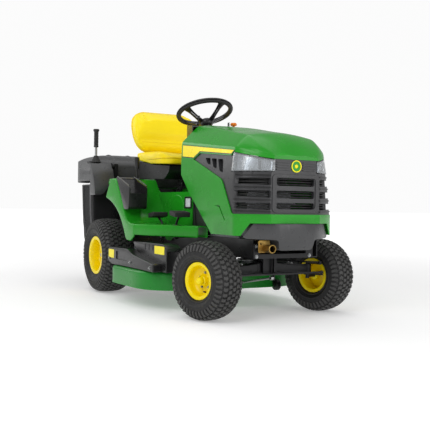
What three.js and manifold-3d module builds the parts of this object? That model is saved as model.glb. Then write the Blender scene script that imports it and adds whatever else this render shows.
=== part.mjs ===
// A riding lawn mower with a rear grass catcher.
// Frame: +X forward, +Y to the mower's left, +Z up, in millimetres.
// Everything is laid out from the rear axle line (x = 0) on the ground (z = 0), and the whole
// mower is then shifted so that the origin is at the middle of its footprint.
import * as THREE from 'three';
import { mergeVertices } from 'three/addons/utils/BufferGeometryUtils.js';
import Module from 'manifold-3d';

const wasm = await Module();
wasm.setup();

// ---------------------------------------------------------------- driving dimensions
const FRONT_END = 1514;
const REAR_END = -810;
const MID_LENGTH = (FRONT_END + REAR_END) / 2;

const WHEELBASE = 1245;
const REAR_TYRE = { radius: 228.6, width: 192, bead: 76, barrel: 101, flange: 117.5, halfTrack: 368,
  bore: 13.2 };
const FRONT_TYRE = { radius: 190.5, width: 150, bead: 49.5, barrel: 76, flange: 90, bore: 10 };
const WHEEL_SIDES = 20;

const RAIL = { inner: 154, outer: 190, low: 300, high: 390, rear: -235, front: 1420 };

const KINGPIN_Y = 262;
const SPINDLE_OFFSET = 94;
const STEER_REST = THREE.MathUtils.degToRad(15.5);
const AXLE_PIVOT_Z = 240;
const TIE_ARM = 90;
const DRAG_ARM = 80;
const PINION_TEETH = 12;
const SECTOR_TEETH = 72;
const TOOTH_MODULE = 32 / PINION_TEETH;
const PINION_X = 820;
const SECTOR_X = PINION_X + (SECTOR_TEETH - PINION_TEETH) * TOOTH_MODULE / 2;
const SECTOR_Z = 274;

const COLUMN_TILT = THREE.MathUtils.degToRad(20);
const WHEEL_CENTRE = { x: 575, z: 1092 };
const STEERING_RIM = 153;
const STEERING_GRIP = 14;
const U_JOINT_Z = 424;

const HOOD_REAR = 790;
const HOOD_SKIN = 5;

const DECK = { rear: 350, front: 985, half: 500, low: 105, top: 200, wall: 4 };
const BLADE = { x: 667, y: 235, half: 225, z: 123 };
const LINK = { length: 300, slope: THREE.MathUtils.degToRad(10) };
const DECK_FRONT_PIN = { x: 1005, z: 140 };
const DECK_REAR_PIN = { x: 465, z: 212 };
const LINK_RUN = LINK.length * Math.cos(LINK.slope);
const LINK_RISE = LINK.length * Math.sin(LINK.slope);
const FRONT_HANGER = { x: DECK_FRONT_PIN.x + LINK_RUN, z: DECK_FRONT_PIN.z + LINK_RISE };
const ROCKSHAFT = { x: DECK_REAR_PIN.x + LINK_RUN, z: DECK_REAR_PIN.z + LINK_RISE };

const PLATFORM_Z = 622;
const FENDER_Z = 700;
const FENDER_REAR = -140;
const FENDER_HALF = 450;
const TUNNEL_HALF = 200;
const FOOTREST_Z = 441;
const SHEET = 5;

const SEAT_PIVOT = { x: 470, z: 645 };
const CATCHER_PIVOT = { x: -240, z: 800 };
const CATCHER_FRONT = -262;
const LEVER_PIVOT = { x: 270, y: -285, z: 560 };
const PEDAL_Z = 380;
const PEDAL_Y = 300;
const PEDAL_FEET = [829, 655];

// ---------------------------------------------------------------- solid helpers
const UP = new THREE.Vector3(0, 0, 1);

// The booleans need shared corners and outward faces, so a turned-in body is turned out here.
function toSolid(geometry) {
  const bare = geometry.clone();
  for (const name of Object.keys(bare.attributes)) {
    if (name !== 'position') bare.deleteAttribute(name);
  }
  const merged = mergeVertices(bare, 1e-3);
  const vertProperties = new Float32Array(merged.attributes.position.array);
  const triVerts = new Uint32Array(merged.index.array);
  if (signedVolume(vertProperties, triVerts) < 0) {
    for (let t = 0; t < triVerts.length; t += 3) {
      [triVerts[t + 1], triVerts[t + 2]] = [triVerts[t + 2], triVerts[t + 1]];
    }
  }
  return new wasm.Manifold(new wasm.Mesh({ numProp: 3, vertProperties, triVerts }));
}

function signedVolume(corners, faces) {
  const [a, b, c] = [new THREE.Vector3(), new THREE.Vector3(), new THREE.Vector3()];
  let volume = 0;
  for (let t = 0; t < faces.length; t += 3) {
    a.fromArray(corners, 3 * faces[t]);
    b.fromArray(corners, 3 * faces[t + 1]);
    c.fromArray(corners, 3 * faces[t + 2]);
    volume += a.dot(b.cross(c)) / 6;
  }
  return volume;
}

function toGeometry(solid) {
  const mesh = solid.getMesh();
  const geometry = new THREE.BufferGeometry();
  geometry.setAttribute('position', new THREE.BufferAttribute(new Float32Array(mesh.vertProperties), 3));
  geometry.setIndex(new THREE.BufferAttribute(new Uint32Array(mesh.triVerts), 1));
  geometry.computeVertexNormals();
  return geometry;
}

const join = (first, ...rest) => toGeometry(rest.reduce((sum, g) => sum.add(toSolid(g)), toSolid(first)));
const cut = (first, ...rest) => toGeometry(rest.reduce((sum, g) => sum.subtract(toSolid(g)),
  toSolid(first)));
const common = (first, second) => toGeometry(toSolid(first).intersect(toSolid(second)));
const mirrored = (geometry) => geometry.clone().scale(1, -1, 1);
const joinBothSides = (geometry) => join(geometry, mirrored(geometry));

// ---------------------------------------------------------------- basic shapes
function block(x0, x1, y0, y1, z0, z1) {
  const box = new THREE.BoxGeometry(x1 - x0, y1 - y0, z1 - z0);
  return box.translate((x0 + x1) / 2, (y0 + y1) / 2, (z0 + z1) / 2);
}

// A round bar between two points.
function bar(from, to, radius, sides = 12, endRadius = radius) {
  const start = new THREE.Vector3(...from);
  const along = new THREE.Vector3(...to).sub(start);
  const rod = new THREE.CylinderGeometry(endRadius, radius, along.length(), sides);
  rod.rotateX(Math.PI / 2).translate(0, 0, along.length() / 2);
  rod.applyQuaternion(new THREE.Quaternion().setFromUnitVectors(UP, along.normalize()));
  return rod.translate(start.x, start.y, start.z);
}

const acrossBar = (x, z, y0, y1, radius, sides) => bar([x, y0, z], [x, y1, z], radius, sides);

// An outline of [a, b] points; a third number rounds that corner, over at most half of each edge.
function outline(points) {
  const shape = new THREE.Shape();
  const at = (i) => new THREE.Vector2(...points[(i + points.length) % points.length]);
  const towards = (corner, other, radius) => {
    const edge = other.clone().sub(corner);
    return edge.clone().setLength(Math.min(radius, 0.48 * edge.length())).add(corner);
  };
  points.forEach(([, , radius = 0], i) => {
    const corner = at(i);
    const before = towards(corner, at(i - 1), radius);
    const after = towards(corner, at(i + 1), radius);
    if (i === 0) shape.moveTo(before.x, before.y);
    else shape.lineTo(before.x, before.y);
    if (radius > 0) shape.quadraticCurveTo(corner.x, corner.y, after.x, after.y);
  });
  shape.closePath();
  return shape;
}

function extruded(shape, depth) {
  return new THREE.ExtrudeGeometry(shape, { depth, bevelEnabled: false, curveSegments: 2 });
}

// Plan, side and front outlines pushed through a span of the third axis.
const planSlab = (points, z0, z1) => extruded(outline(points), z1 - z0).translate(0, 0, z0);
const sideSlab = (points, y0, y1) => extruded(outline(points),
  y1 - y0).rotateX(Math.PI / 2).translate(0, y1, 0);
const FRONT_TURN = new THREE.Matrix4().set(0, 0, 1, 0, 1, 0, 0, 0, 0, 1, 0, 0, 0, 0, 0, 1);
const frontSlab = (points, x0, x1) => extruded(outline(points),
  x1 - x0).applyMatrix4(FRONT_TURN).translate(x0, 0, 0);

// A ring of [radius, y] points turned about the Y axis.
function turned(profile, sides) {
  const closed = [...profile, profile[0]].map(([radius, y]) => new THREE.Vector2(radius, y));
  return new THREE.LatheGeometry(closed, sides, Math.PI / sides);
}

// A skin through rings that all hold the same number of [x, y, z] points, closed at both ends.
function loft(rings) {
  const count = rings[0].length;
  const centres = [rings[0], rings[rings.length - 1]].map((ring) =>
    [0, 1, 2].map((axis) => ring.reduce((sum, point) => sum + point[axis], 0) / count));
  const corners = [...rings.flat(), ...centres].flat();
  const faces = [];
  const last = rings.length - 1;
  const [startCentre, endCentre] = [rings.length * count, rings.length * count + 1];
  for (let i = 0; i < count; i += 1) {
    const next = (i + 1) % count;
    for (let r = 0; r < last; r += 1) {
      const [a, b] = [r * count + i, r * count + next];
      faces.push(a, b, a + count, b, b + count, a + count);
    }
    faces.push(startCentre, next, i);
    faces.push(endCentre, last * count + i, last * count + next);
  }
  const geometry = new THREE.BufferGeometry();
  geometry.setAttribute('position', new THREE.Float32BufferAttribute(corners, 3));
  geometry.setIndex(faces);
  return geometry;
}

// A bar or pipe bent along a smooth curve through the given points.
function bent(points, radius, { bore = 0, steps = 12, sides = 5 } = {}) {
  const path = new THREE.CatmullRomCurve3(points.map((point) => new THREE.Vector3(...point)), false,
    'chordal');
  const shape = new THREE.Shape().absarc(0, 0, radius, 0, 2 * Math.PI);
  if (bore > 0) shape.holes.push(new THREE.Path().absarc(0, 0, bore, 0, 2 * Math.PI, true));
  return new THREE.ExtrudeGeometry(shape, { steps, curveSegments: sides, extrudePath: path });
}

// ---------------------------------------------------------------- materials and assembly
const finish = (color, roughness, metalness = 0) => new THREE.MeshStandardMaterial({ color, roughness,
  metalness });
const GREEN = () => finish(0x23873a, 0.3);
const YELLOW = () => finish(0xffdd00, 0.4);
const BLACK = () => finish(0x1b1b1c, 0.55);
const DARK_GREY = () => finish(0x4a4b4d, 0.5);
const RUBBER = () => finish(0x232323, 0.85);
const ZINC = () => finish(0xb8bcc0, 0.35, 0.9);
const CAST = () => finish(0x6d7074, 0.6, 0.8);
const BLACK_STEEL = () => finish(0x202124, 0.45, 0.6);
const VINYL = () => finish(0xffe000, 0.5);

const model = new THREE.Group();
const mower = new THREE.Group();
mower.position.x = -MID_LENGTH;
model.add(mower);

function add(name, geometry, material, parent = mower) {
  const mesh = new THREE.Mesh(toGeometry(toSolid(geometry)), material);
  mesh.name = name;
  parent.add(mesh);
  return mesh;
}

function place(x, y, z, parent = mower) {
  const group = new THREE.Group();
  group.position.set(x, y, z);
  parent.add(group);
  return group;
}

// ---------------------------------------------------------------- chassis
function frame() {
  const rail = join(
    block(RAIL.rear, RAIL.front, RAIL.outer - 6, RAIL.outer, RAIL.low, RAIL.high),
    block(RAIL.rear, RAIL.front, RAIL.inner, RAIL.outer, RAIL.high - 6, RAIL.high),
    block(RAIL.rear, RAIL.front, RAIL.inner, RAIL.outer, RAIL.low, RAIL.low + 6),
  );
  const crossMembers = [[RAIL.rear, -215], [520, 545], [1190, 1310]].map(([x0, x1]) =>
    block(x0, x1, -RAIL.outer, RAIL.outer, RAIL.low, RAIL.low + 6));
  const pivotPlates = [1205, 1277].map((x) => block(x, x + 8, -40, 40, 214, RAIL.low + 3));
  const pivotPin = bar([1205, 0, AXLE_PIVOT_Z], [1285, 0, AXLE_PIVOT_Z], 10);
  const { x, z } = FRONT_HANGER;
  const hanger = block(x - 8, x + 8, 10, 16, z - 12, RAIL.low + 3);
  const hangerPin = acrossBar(x, z, -8, 12, 5);
  const shaftEars = block(ROCKSHAFT.x - 16, ROCKSHAFT.x + 16, RAIL.outer - 6, RAIL.outer, 245,
    RAIL.low + 3);
  const shaftBore = acrossBar(ROCKSHAFT.x, ROCKSHAFT.z, -340, 340, 10.8, 16);
  const pedalPins = PEDAL_FEET.map((footX) => acrossBar(footX, PEDAL_Z, RAIL.outer - 4, PEDAL_Y + 12, 7,
    14));
  return cut(
    join(rail, mirrored(rail), ...crossMembers, ...pivotPlates, pivotPin, hanger, hangerPin,
      shaftEars, mirrored(shaftEars), pedalPins[0], ...pedalPins.map(mirrored)),
    shaftBore,
  );
}
add('frame', frame(), BLACK_STEEL());

// The rear plate carries two uprights whose stub pins hold the catcher's lugs.
function hitchPlate() {
  const upright = join(
    block(-250, -228, 215, 240, 330, CATCHER_PIVOT.z + 16),
    acrossBar(CATCHER_PIVOT.x, CATCHER_PIVOT.z, 238, 256, 8),
  );
  return join(block(-246, -236, -242, 242, 300, 390), block(-250, -236.5, -240, 240, 330, 345),
    upright, mirrored(upright));
}
function withChuteGap(plate) {
  return cut(plate, block(-260, -200, -156, 156, 324, 420));
}
add('hitch_plate', withChuteGap(hitchPlate()), BLACK_STEEL());

// The moulded green body: two fender tops, a sunk platform between them and a low footrest.
const FENDER_TOP = [[332, FENDER_Z], [420, 575], [470, 490], [520, 447]];
function fenderSide() {
  const shell = sideSlab([
    [FENDER_REAR, FENDER_Z, 0], ...FENDER_TOP, [604, FOOTREST_Z], [604, FOOTREST_Z - SHEET],
    [518, 441], [465, 486], [415, 572], [329, FENDER_Z - SHEET], [FENDER_REAR, FENDER_Z - SHEET],
  ], TUNNEL_HALF - SHEET, FENDER_HALF - 1);
  const rearCorner = block(FENDER_REAR - 1, 150, 325, FENDER_HALF, FENDER_Z - SHEET - 1, FENDER_Z + 1);
  const skirt = sideSlab([
    [168, 592, 10], [247, FENDER_Z - 2, 20], ...FENDER_TOP, [604, FOOTREST_Z], [604, 372], [560, 344, 12],
    [495, 349, 12], [440, 432, 30], [367, 508, 30], [270, 560, 30],
  ], FENDER_HALF - SHEET, FENDER_HALF);
  const tunnelWall = sideSlab([
    [FENDER_REAR, 540], [FENDER_REAR, FENDER_Z], [332, FENDER_Z], [387, PLATFORM_Z], [820, PLATFORM_Z],
    [820, FOOTREST_Z - SHEET], [510, FOOTREST_Z - SHEET], [462, 482], [425, 540],
  ], TUNNEL_HALF - SHEET, TUNNEL_HALF);
  const edge = [[600, 450], [760, 402], [1000, 262]];
  const rest = planSlab([[500, TUNNEL_HALF - SHEET], ...edge, [1000, TUNNEL_HALF - SHEET]], 380,
    FOOTREST_Z);
  const hollow = planSlab([
    [490, TUNNEL_HALF - 20], [490, FENDER_HALF - SHEET], [599, FENDER_HALF - SHEET], [757, 397], [995, 258],
    [995, TUNNEL_HALF - 20],
  ], 370, FOOTREST_Z - SHEET);
  return join(cut(shell, rearCorner), skirt, tunnelWall, cut(rest, hollow));
}
function seatHingeBlock() {
  const { x, z } = SEAT_PIVOT;
  return join(block(x - 15, x + 15, 102, 112, PLATFORM_Z - 2, z + 15), acrossBar(x, z, 88, 106, 6));
}
function fenderBody() {
  const platform = block(FENDER_REAR, 700, -TUNNEL_HALF, TUNNEL_HALF, PLATFORM_Z - SHEET, PLATFORM_Z);
  const leverSlot = block(236, 326, LEVER_PIVOT.y - 10, LEVER_PIVOT.y + 10, 680, 720);
  const footSlots = [[818, 862], [626, 669]].map(([x0, x1]) => block(x0, x1, -PEDAL_Y - 9, -PEDAL_Y + 9,
    420, 460));
  const brakeSlot = mirrored(footSlots[0]);
  const leverPin = acrossBar(LEVER_PIVOT.x, LEVER_PIVOT.z, -297, -TUNNEL_HALF + 2, 7);
  const bothSides = joinBothSides(join(fenderSide(), seatHingeBlock()));
  return join(cut(join(bothSides, platform), leverSlot, ...footSlots, brakeSlot), leverPin);
}
add('fender_body', fenderBody(), GREEN());

// The open black tray let into the right-hand fender.
function storageConsole() {
  const tray = [[337, 706, 6], [532, 643, 10], [522, 522, 14], [460, 522, 10], [425, 577, 8]];
  const well = [[352, 730], [545, 668], [508, 540, 10], [468, 540, 10], [436, 590, 8], [362, 694]];
  const body = sideSlab(tray, -448, -338);
  return cut(body, sideSlab(well, -438, -348));
}
add('storage_console', storageConsole(), BLACK());

// The bumper is a curved shell that closes the front below the hood, with a lower centre dam.
function bumperBlock(inset) {
  const front = [
    [-276 + inset, 448], [-258 + inset, 466 - inset], [258 - inset, 466 - inset], [276 - inset, 448],
    [236 - inset, 394 + inset], [109 - inset, 392 + inset], [98 - inset, 341 + inset],
    [-85 + inset, 341 + inset], [-98 + inset, 392 + inset], [-236 + inset, 394 + inset],
  ];
  const nose = FRONT_END - inset;
  const plan = [
    [1385 - 2 * inset, -290], [1398 - inset, -290], [1424 - inset, -236, 20], [nose - 22, -140, 60],
    [nose, -40], [nose, 40], [nose - 22, 140, 60], [1424 - inset, 236, 20], [1398 - inset, 290],
      [1385 - 2 * inset, 290],
  ];
  return common(frontSlab(front, 1300, 1600), planSlab(plan, 300, 500));
}
function frontBumper() {
  const hoodSide = sideSlab([[1300, 400], [1419, 400], [1450, 469], [1300, 469]], 190, 300);
  return cut(bumperBlock(0), bumperBlock(6), hoodSide, mirrored(hoodSide));
}
add('front_bumper', frontBumper(), DARK_GREY());

// A low cross bar with one tall ear on each side closes the rails at the front.
add('front_bracket', join(
  block(1420.5, 1428.5, -188, 155, 300, 322),
  block(1420.5, 1428.5, -188, -156, 300, 372),
  block(1420.5, 1428.5, 113, 155, 300, 372),
), BLACK_STEEL());

// ---------------------------------------------------------------- dash and steering pedestal
const columnX = (z) => WHEEL_CENTRE.x + (WHEEL_CENTRE.z - z) * Math.tan(COLUMN_TILT);
function dashConsole() {
  const cover = (gap, top, bottom, front) => [
    [columnX(top) - gap, top], [columnX(bottom) - gap, bottom], [front, bottom], [front, top],
  ];
  const outside = join(
    sideSlab([
      [846, 442], [821, 560, 20], [796, 640, 20], [778, 712, 10], [772, 880, 20], [700, 925, 30],
        [590, 945, 12],
      [580, 970, 10], [600, 988, 8], [650, 1000, 20], [786, 984, 4], [786, 742], [905, 625],
        [1000, 545], [1000, 442],
    ], -190, 190),
    sideSlab(cover(30, 930, 623, 799), -52, 52),
    block(690, 832, -193, 193, 623, 629),
  );
  const inside = join(
    sideSlab([
      [852, 420], [827, 561], [802, 641], [784, 713], [778, 884], [702, 931], [596, 950], [587, 968],
      [602, 981], [650, 993], [800, 975], [800, 760], [1020, 560], [1020, 420],
    ], -184, 184),
    sideSlab(cover(24, 930, 600, 830), -46, 46),
  );
  const plan = (inset, front) => {
    const side = [[570 + inset, 105 - inset, 20], [640, 150 - inset, 30], [786, 190 - inset],
      [front, 190 - inset]];
    return planSlab([...side, ...side.map(([x, y, r]) => [x, -y, r]).reverse()], 400, 1100);
  };
  const columnHole = bar([columnX(900), 0, 900], [columnX(1050), 0, 1050], 16);
  return cut(common(outside, plan(0, 1010)), common(inside, plan(6, 1030)), columnHole);
}
add('dash_console', dashConsole(), BLACK());

// ---------------------------------------------------------------- power train
function engineBlock() {
  const fins = [0, 1, 2, 3].map((i) => block(1015, 1285, -150, 150, 440 + 40 * i, 448 + 40 * i));
  return join(block(1002, 1296, -188, 188, 390.5, 402), block(1030, 1270, -130, 130, 400, 618), ...fins);
}
add('engine_block', engineBlock(), CAST());
add('engine_shroud', join(
  bar([1150, 0, 618.5], [1150, 0, 700], 150, 24),
  bar([1150, 0, 699], [1150, 0, 722], 110, 24, 90),
), BLACK());
add('muffler', join(
  acrossBar(1345, 442, -155, 120, 38, 16),
  bar([1345, -132, 415], [1345, -132, 398], 24),
), CAST());
add('exhaust_elbow', bent([[1345, -132, 396.5], [1345, -132, 376], [1362, -132, 355], [1395, -132, 350],
  [1502, -132, 350]], 19, { bore: 16, steps: 9, sides: 5 }), finish(0xa8823c, 0.4, 0.8));
add('battery', join(
  block(872, 985, -90, 90, 391, 540),
  bar([900, -60, 539], [900, -60, 552], 9),
  bar([900, 60, 539], [900, 60, 552], 9),
), BLACK());
add('fuel_tank', join(
  block(420, 660, -150, 150, 460, 600),
  bar([560, 60, 599], [560, 60, PLATFORM_Z - SHEET - 0.5], 26, 16),
), finish(0xe9e9e4, 0.5));
add('fuel_cap', join(
  bar([560, 60, PLATFORM_Z + 0.5], [560, 60, PLATFORM_Z + 20], 34, 20),
  block(530, 590, 55, 65, PLATFORM_Z + 18, PLATFORM_Z + 28),
), BLACK());

function transaxle() {
  const housing = join(
    block(-95, 95, -148, 148, 165, 292),
    bar([0, 0, 290], [0, 0, 318], 55, 20),
    acrossBar(0, REAR_TYRE.radius, -245, 245, 32, 16),
  );
  return cut(housing, acrossBar(0, REAR_TYRE.radius, -260, -120, 15, 16),
    acrossBar(0, REAR_TYRE.radius, 120, 260, 15, 16));
}
add('transaxle', transaxle(), CAST());

// The clippings chute climbs from the deck's rear edge over the transaxle to the catcher's mouth.
function dischargeChute() {
  const duct = (wall) => sideSlab([
    [316 + wall * 4, 112 + wall], [316 + wall * 4, 232 - wall], [120, 480 - wall],
      [-240 - wall * 4, 596 - wall],
    [-240 - wall * 4, 330 + wall], [60, 326 + wall], [130, 322 + wall],
  ], -148 + wall, 148 - wall);
  return cut(duct(0), duct(4));
}
add('discharge_chute', dischargeChute(), BLACK());

// ---------------------------------------------------------------- front axle and steering
function axleBeam() {
  const arm = loft([
    [[1224, 40, 212], [1266, 40, 212], [1266, 40, 268], [1224, 40, 268]],
    [[1224, 110, 204], [1266, 110, 204], [1266, 110, 258], [1224, 110, 258]],
    [[1227, 250, 212], [1263, 250, 212], [1263, 250, 250], [1227, 250, 250]],
  ]);
  const boss = bar([WHEELBASE, KINGPIN_Y, 209], [WHEELBASE, KINGPIN_Y, 252], 19, 16);
  const centre = block(1222, 1268, -60, 60, 212, 268);
  const kingpinBore = bar([WHEELBASE, KINGPIN_Y, 190], [WHEELBASE, KINGPIN_Y, 270], 10.6, 16);
  const pivotBore = bar([1200, 0, AXLE_PIVOT_Z], [1290, 0, AXLE_PIVOT_Z], 10.8, 16);
  return cut(join(centre, arm, mirrored(arm), boss, mirrored(boss)), kingpinBore, mirrored(kingpinBore),
    pivotBore);
}
add('front_axle_beam', axleBeam(), BLACK_STEEL());

// A knuckle is drawn about its kingpin with the wheels straight ahead; side is +1 on the left.
function knuckle(side, dragArm) {
  const axleHeight = FRONT_TYRE.radius;
  const pieces = [
    bar([0, 0, 178], [0, 0, 258], 10, 16),
    bar([0, 0, 196], [0, 0, 207], 17, 16),
    acrossBar(0, axleHeight, 0, side * (SPINDLE_OFFSET + 48), 9.5, 16),
    acrossBar(0, axleHeight, side * (SPINDLE_OFFSET + 42), side * (SPINDLE_OFFSET + 46), 16, 16),
    block(0, TIE_ARM, -8, 8, 199, 206),
    bar([TIE_ARM, 0, 199], [TIE_ARM, 0, 206], 9, 12),
  ];
  if (side > 0) pieces.push(bar([TIE_ARM, 0, 205], [TIE_ARM, 0, 224], 4, 10));
  if (dragArm) {
    pieces.push(block(0, DRAG_ARM, -8, 8, 254, 258.5),
      bar([DRAG_ARM, 0, 254], [DRAG_ARM, 0, 258.5], 9, 12));
  }
  return join(...pieces);
}

function ballEnd(x, y, low, high, hole) {
  return cut(bar([x, y, low], [x, y, high], 11, 14), bar([x, y, low - 5], [x, y, high + 5], hole, 12));
}

// The tie rod is drawn from the right-hand arm's tip, and its left eye is open round that arm's pin.
function tieRod() {
  const span = 2 * KINGPIN_Y;
  return join(
    bar([0, 0, 207], [0, 0, 221], 9, 14),
    ballEnd(0, span, 208, 220, 6),
    acrossBar(0, 214, 7, span - 9, 5.5, 12),
  );
}

// The drag link is drawn from the left-hand arm's tip back to the sector's arm.
function dragLink() {
  const back = [SECTOR_X - WHEELBASE, -KINGPIN_Y];
  const near = (share) => [back[0] * share, back[1] * share, 264.5];
  return join(
    bar([0, 0, 259], [0, 0, 270], 9, 14),
    ballEnd(back[0], back[1], 259, 269, 8),
    bar(near(0.015), near(0.978), 4.6, 12),
  );
}

const linkage = place(WHEELBASE, 0, 0);
const turnedKnuckle = (side) => {
  const group = place(0, side * KINGPIN_Y, 0, linkage);
  group.rotation.z = STEER_REST;
  return group;
};
const rightKnuckle = turnedKnuckle(-1);
const leftKnuckle = turnedKnuckle(1);
add('spindle_right', knuckle(-1, false), BLACK_STEEL(), rightKnuckle);
add('spindle_left', knuckle(1, true), BLACK_STEEL(), leftKnuckle);
const armTip = (reach) => [reach * Math.cos(STEER_REST), reach * Math.sin(STEER_REST)];
const [tieX, tieY] = armTip(TIE_ARM);
const [dragX, dragY] = armTip(DRAG_ARM);
add('tie_rod', tieRod(), ZINC(), place(tieX, tieY - KINGPIN_Y, 0.4, linkage));
add('drag_link', dragLink(), ZINC(), place(dragX, dragY + KINGPIN_Y, 0, linkage));

// Gear outlines: each tooth is a short trapezium that fills less than half of its pitch.
function toothedRing(teeth, pitchRadius, inward, from, to, start) {
  const pitch = 2 * Math.PI / teeth;
  const sign = inward ? -1 : 1;
  const [root, tip] = [pitchRadius - sign * 2.4, pitchRadius + sign * 1.7];
  const points = [];
  for (let i = from; i < to; i += 1) {
    const middle = start + i * pitch;
    const corners = [[root, -0.27], [tip, -0.12], [tip, 0.12], [root, 0.27]];
    for (const [radius, offset] of corners) {
      const angle = middle + offset * pitch;
      points.push([radius * Math.cos(angle), radius * Math.sin(angle)]);
    }
  }
  return points;
}

const arc = (radius, from, to, steps) => Array.from({ length: steps + 1 }, (_, i) => {
  const angle = from + (to - from) * i / steps;
  return [radius * Math.cos(angle), radius * Math.sin(angle)];
});

// The pinion's long vertical shaft reaches up to the universal joint below the steering wheel's shaft.
function steeringPinion() {
  const gear = planSlab(toothedRing(PINION_TEETH, PINION_TEETH * TOOTH_MODULE / 2, false, 0,
    PINION_TEETH, Math.PI),
    SECTOR_Z - 3, SECTOR_Z + 11);
  return join(gear, bar([0, 0, 266], [0, 0, U_JOINT_Z - 14], 9, 14));
}
add('steering_pinion', steeringPinion(), CAST(), place(PINION_X, 0, 0));

// The sector's teeth face inward round a window that the pinion stands in.
function sectorGear() {
  const pitchRadius = SECTOR_TEETH * TOOTH_MODULE / 2;
  const pitch = 2 * Math.PI / SECTOR_TEETH;
  const [first, last] = [-9, 15];
  const mesh = Math.PI + pitch / 2;
  const start = mesh + (first - 1.5) * pitch;
  const end = mesh + (last + 0.5) * pitch;
  const teeth = toothedRing(SECTOR_TEETH, pitchRadius, true, first, last, mesh);
  const window = [...teeth, ...arc(30, end, start, 8)];
  const plate = [...arc(118, start - 0.12, end + 0.12, 14),
    ...arc(24, end + 0.3, start + 2 * Math.PI - 0.3, 8)];
  const fan = cut(planSlab(plate, SECTOR_Z, SECTOR_Z + 8), planSlab(window, SECTOR_Z - 5, SECTOR_Z + 15));
  const [x, y] = armTip(DRAG_ARM);
  const arm = bar([0, 0, SECTOR_Z + 4], [x, y, SECTOR_Z + 4], 3.9, 4);
  return join(
    fan,
    cut(bar([0, 0, SECTOR_Z], [0, 0, SECTOR_Z + 14], 22, 16), bar([0, 0, 200], [0, 0, 400], 9, 12)),
    cut(arm, bar([0, 0, 200], [0, 0, 400], 15, 12)),
    bar([x, y, SECTOR_Z], [x, y, SECTOR_Z + 8], 9, 12),
    bar([x, y, 257], [x, y, SECTOR_Z + 1], 4, 10),
  );
}
add('sector_gear', sectorGear(), CAST(), place(SECTOR_X, 0, 0));

// The steering wheel and its shaft are drawn about a vertical axis and then tilted together.
const column = place(WHEEL_CENTRE.x, 0, WHEEL_CENTRE.z);
column.rotation.y = -COLUMN_TILT;
function steeringWheel() {
  const rim = new THREE.TorusGeometry(STEERING_RIM, STEERING_GRIP, 7, 24);
  const spokes = [0, 1, 2, 3].map((i) => {
    const angle = THREE.MathUtils.degToRad(16) + i * Math.PI / 2;
    const [x, y] = [Math.cos(angle), Math.sin(angle)];
    return bar([24 * x, 24 * y, -70], [(STEERING_RIM - 4) * x, (STEERING_RIM - 4) * y, -3], 11, 6, 9);
  });
  return join(rim, ...spokes, bar([0, 0, -88], [0, 0, -54], 34, 16, 30));
}
function steeringShaft() {
  const length = (WHEEL_CENTRE.z - U_JOINT_Z) / Math.cos(COLUMN_TILT);
  return join(bar([0, 0, -88.5], [0, 0, -length], 9, 14),
    bar([0, 0, 12 - length], [0, 0, -length], 14, 14));
}
add('steering_wheel', steeringWheel(), BLACK(), column);
add('steering_shaft', steeringShaft(), BLACK_STEEL(), column);

// ---------------------------------------------------------------- wheels
function tyre({ radius, width, bead, barrel, flange }) {
  const ring = radius / Math.cos(Math.PI / WHEEL_SIDES);
  const half = width / 2;
  const seat = barrel + 1;
  const side = [[seat, bead], [flange + 1.4, bead], [flange + 2, bead + 7], [ring * 0.76, half],
    [ring * 0.95, half * 0.86], [ring, half * 0.45]];
  const far = side.map(([r, y]) => [r, -y]).reverse();
  return turned([...side, ...far], WHEEL_SIDES);
}

// The rim is drawn for the left-hand side, with its dished face outward along +Y.
function rim({ bead: tyreBead, barrel, flange, bore }) {
  const bead = tyreBead + 0.6;
  const inner = barrel - 5;
  const hub = bore + 13;
  return turned([
    [bore, -40], [hub, -40], [hub, 2], [inner, 6], [inner, -bead - 5], [flange, -bead - 6],
    [flange, -bead], [barrel, -bead], [barrel, bead], [flange, bead], [flange, bead + 6], [inner, bead + 5],
    [inner, 14], [hub, 10], [hub, 38], [bore, 38],
  ], WHEEL_SIDES);
}

function addWheel(name, size, parent, side) {
  const face = side > 0 ? rim(size) : mirrored(rim(size));
  add(`${name}_tyre`, tyre(size), RUBBER(), parent);
  add(`${name}_rim`, face, YELLOW(), parent);
}
addWheel('front_right', FRONT_TYRE, place(0, -SPINDLE_OFFSET, FRONT_TYRE.radius, rightKnuckle), -1);
addWheel('front_left', FRONT_TYRE, place(0, SPINDLE_OFFSET, FRONT_TYRE.radius, leftKnuckle), 1);
for (const [name, side] of [['right', -1], ['left', 1]]) {
  const hub = place(0, side * REAR_TYRE.halfTrack, REAR_TYRE.radius);
  addWheel(`rear_${name}`, REAR_TYRE, hub, side);
  add(`axle_shaft_${name}`, acrossBar(0, 0, side * 46, -side * (REAR_TYRE.halfTrack - 130), 12, 16),
    ZINC(), hub);
}

// ---------------------------------------------------------------- hood, grille and headlights
// One cross-section of the nose: how wide it is low down, at the side crease and at the roof crease.
const HOOD_STATIONS = [
  { x: HOOD_REAR - 2, low: 252, side: 250, sideZ: 888, roof: 150, roofZ: 984, top: 990 },
  { x: 1000, low: 262, side: 254, sideZ: 865, roof: 163, roofZ: 954, top: 966 },
  { x: 1200, low: 272, side: 255, sideZ: 843, roof: 178, roofZ: 918, top: 933 },
  { x: 1358, low: 280, side: 255, sideZ: 826, roof: 188, roofZ: 888, top: 906 },
  { x: 1395, low: 281, side: 236, sideZ: 817, roof: 185, roofZ: 868, top: 890 },
  { x: 1450, low: 225, side: 190, sideZ: 798, roof: 165, roofZ: 828, top: 848 },
  { x: 1500, low: 140, side: 128, sideZ: 781, roof: 112, roofZ: 784, top: 788 },
];
const HOOD_LOW = 405;
const STRIP_TOP = 511;

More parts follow.
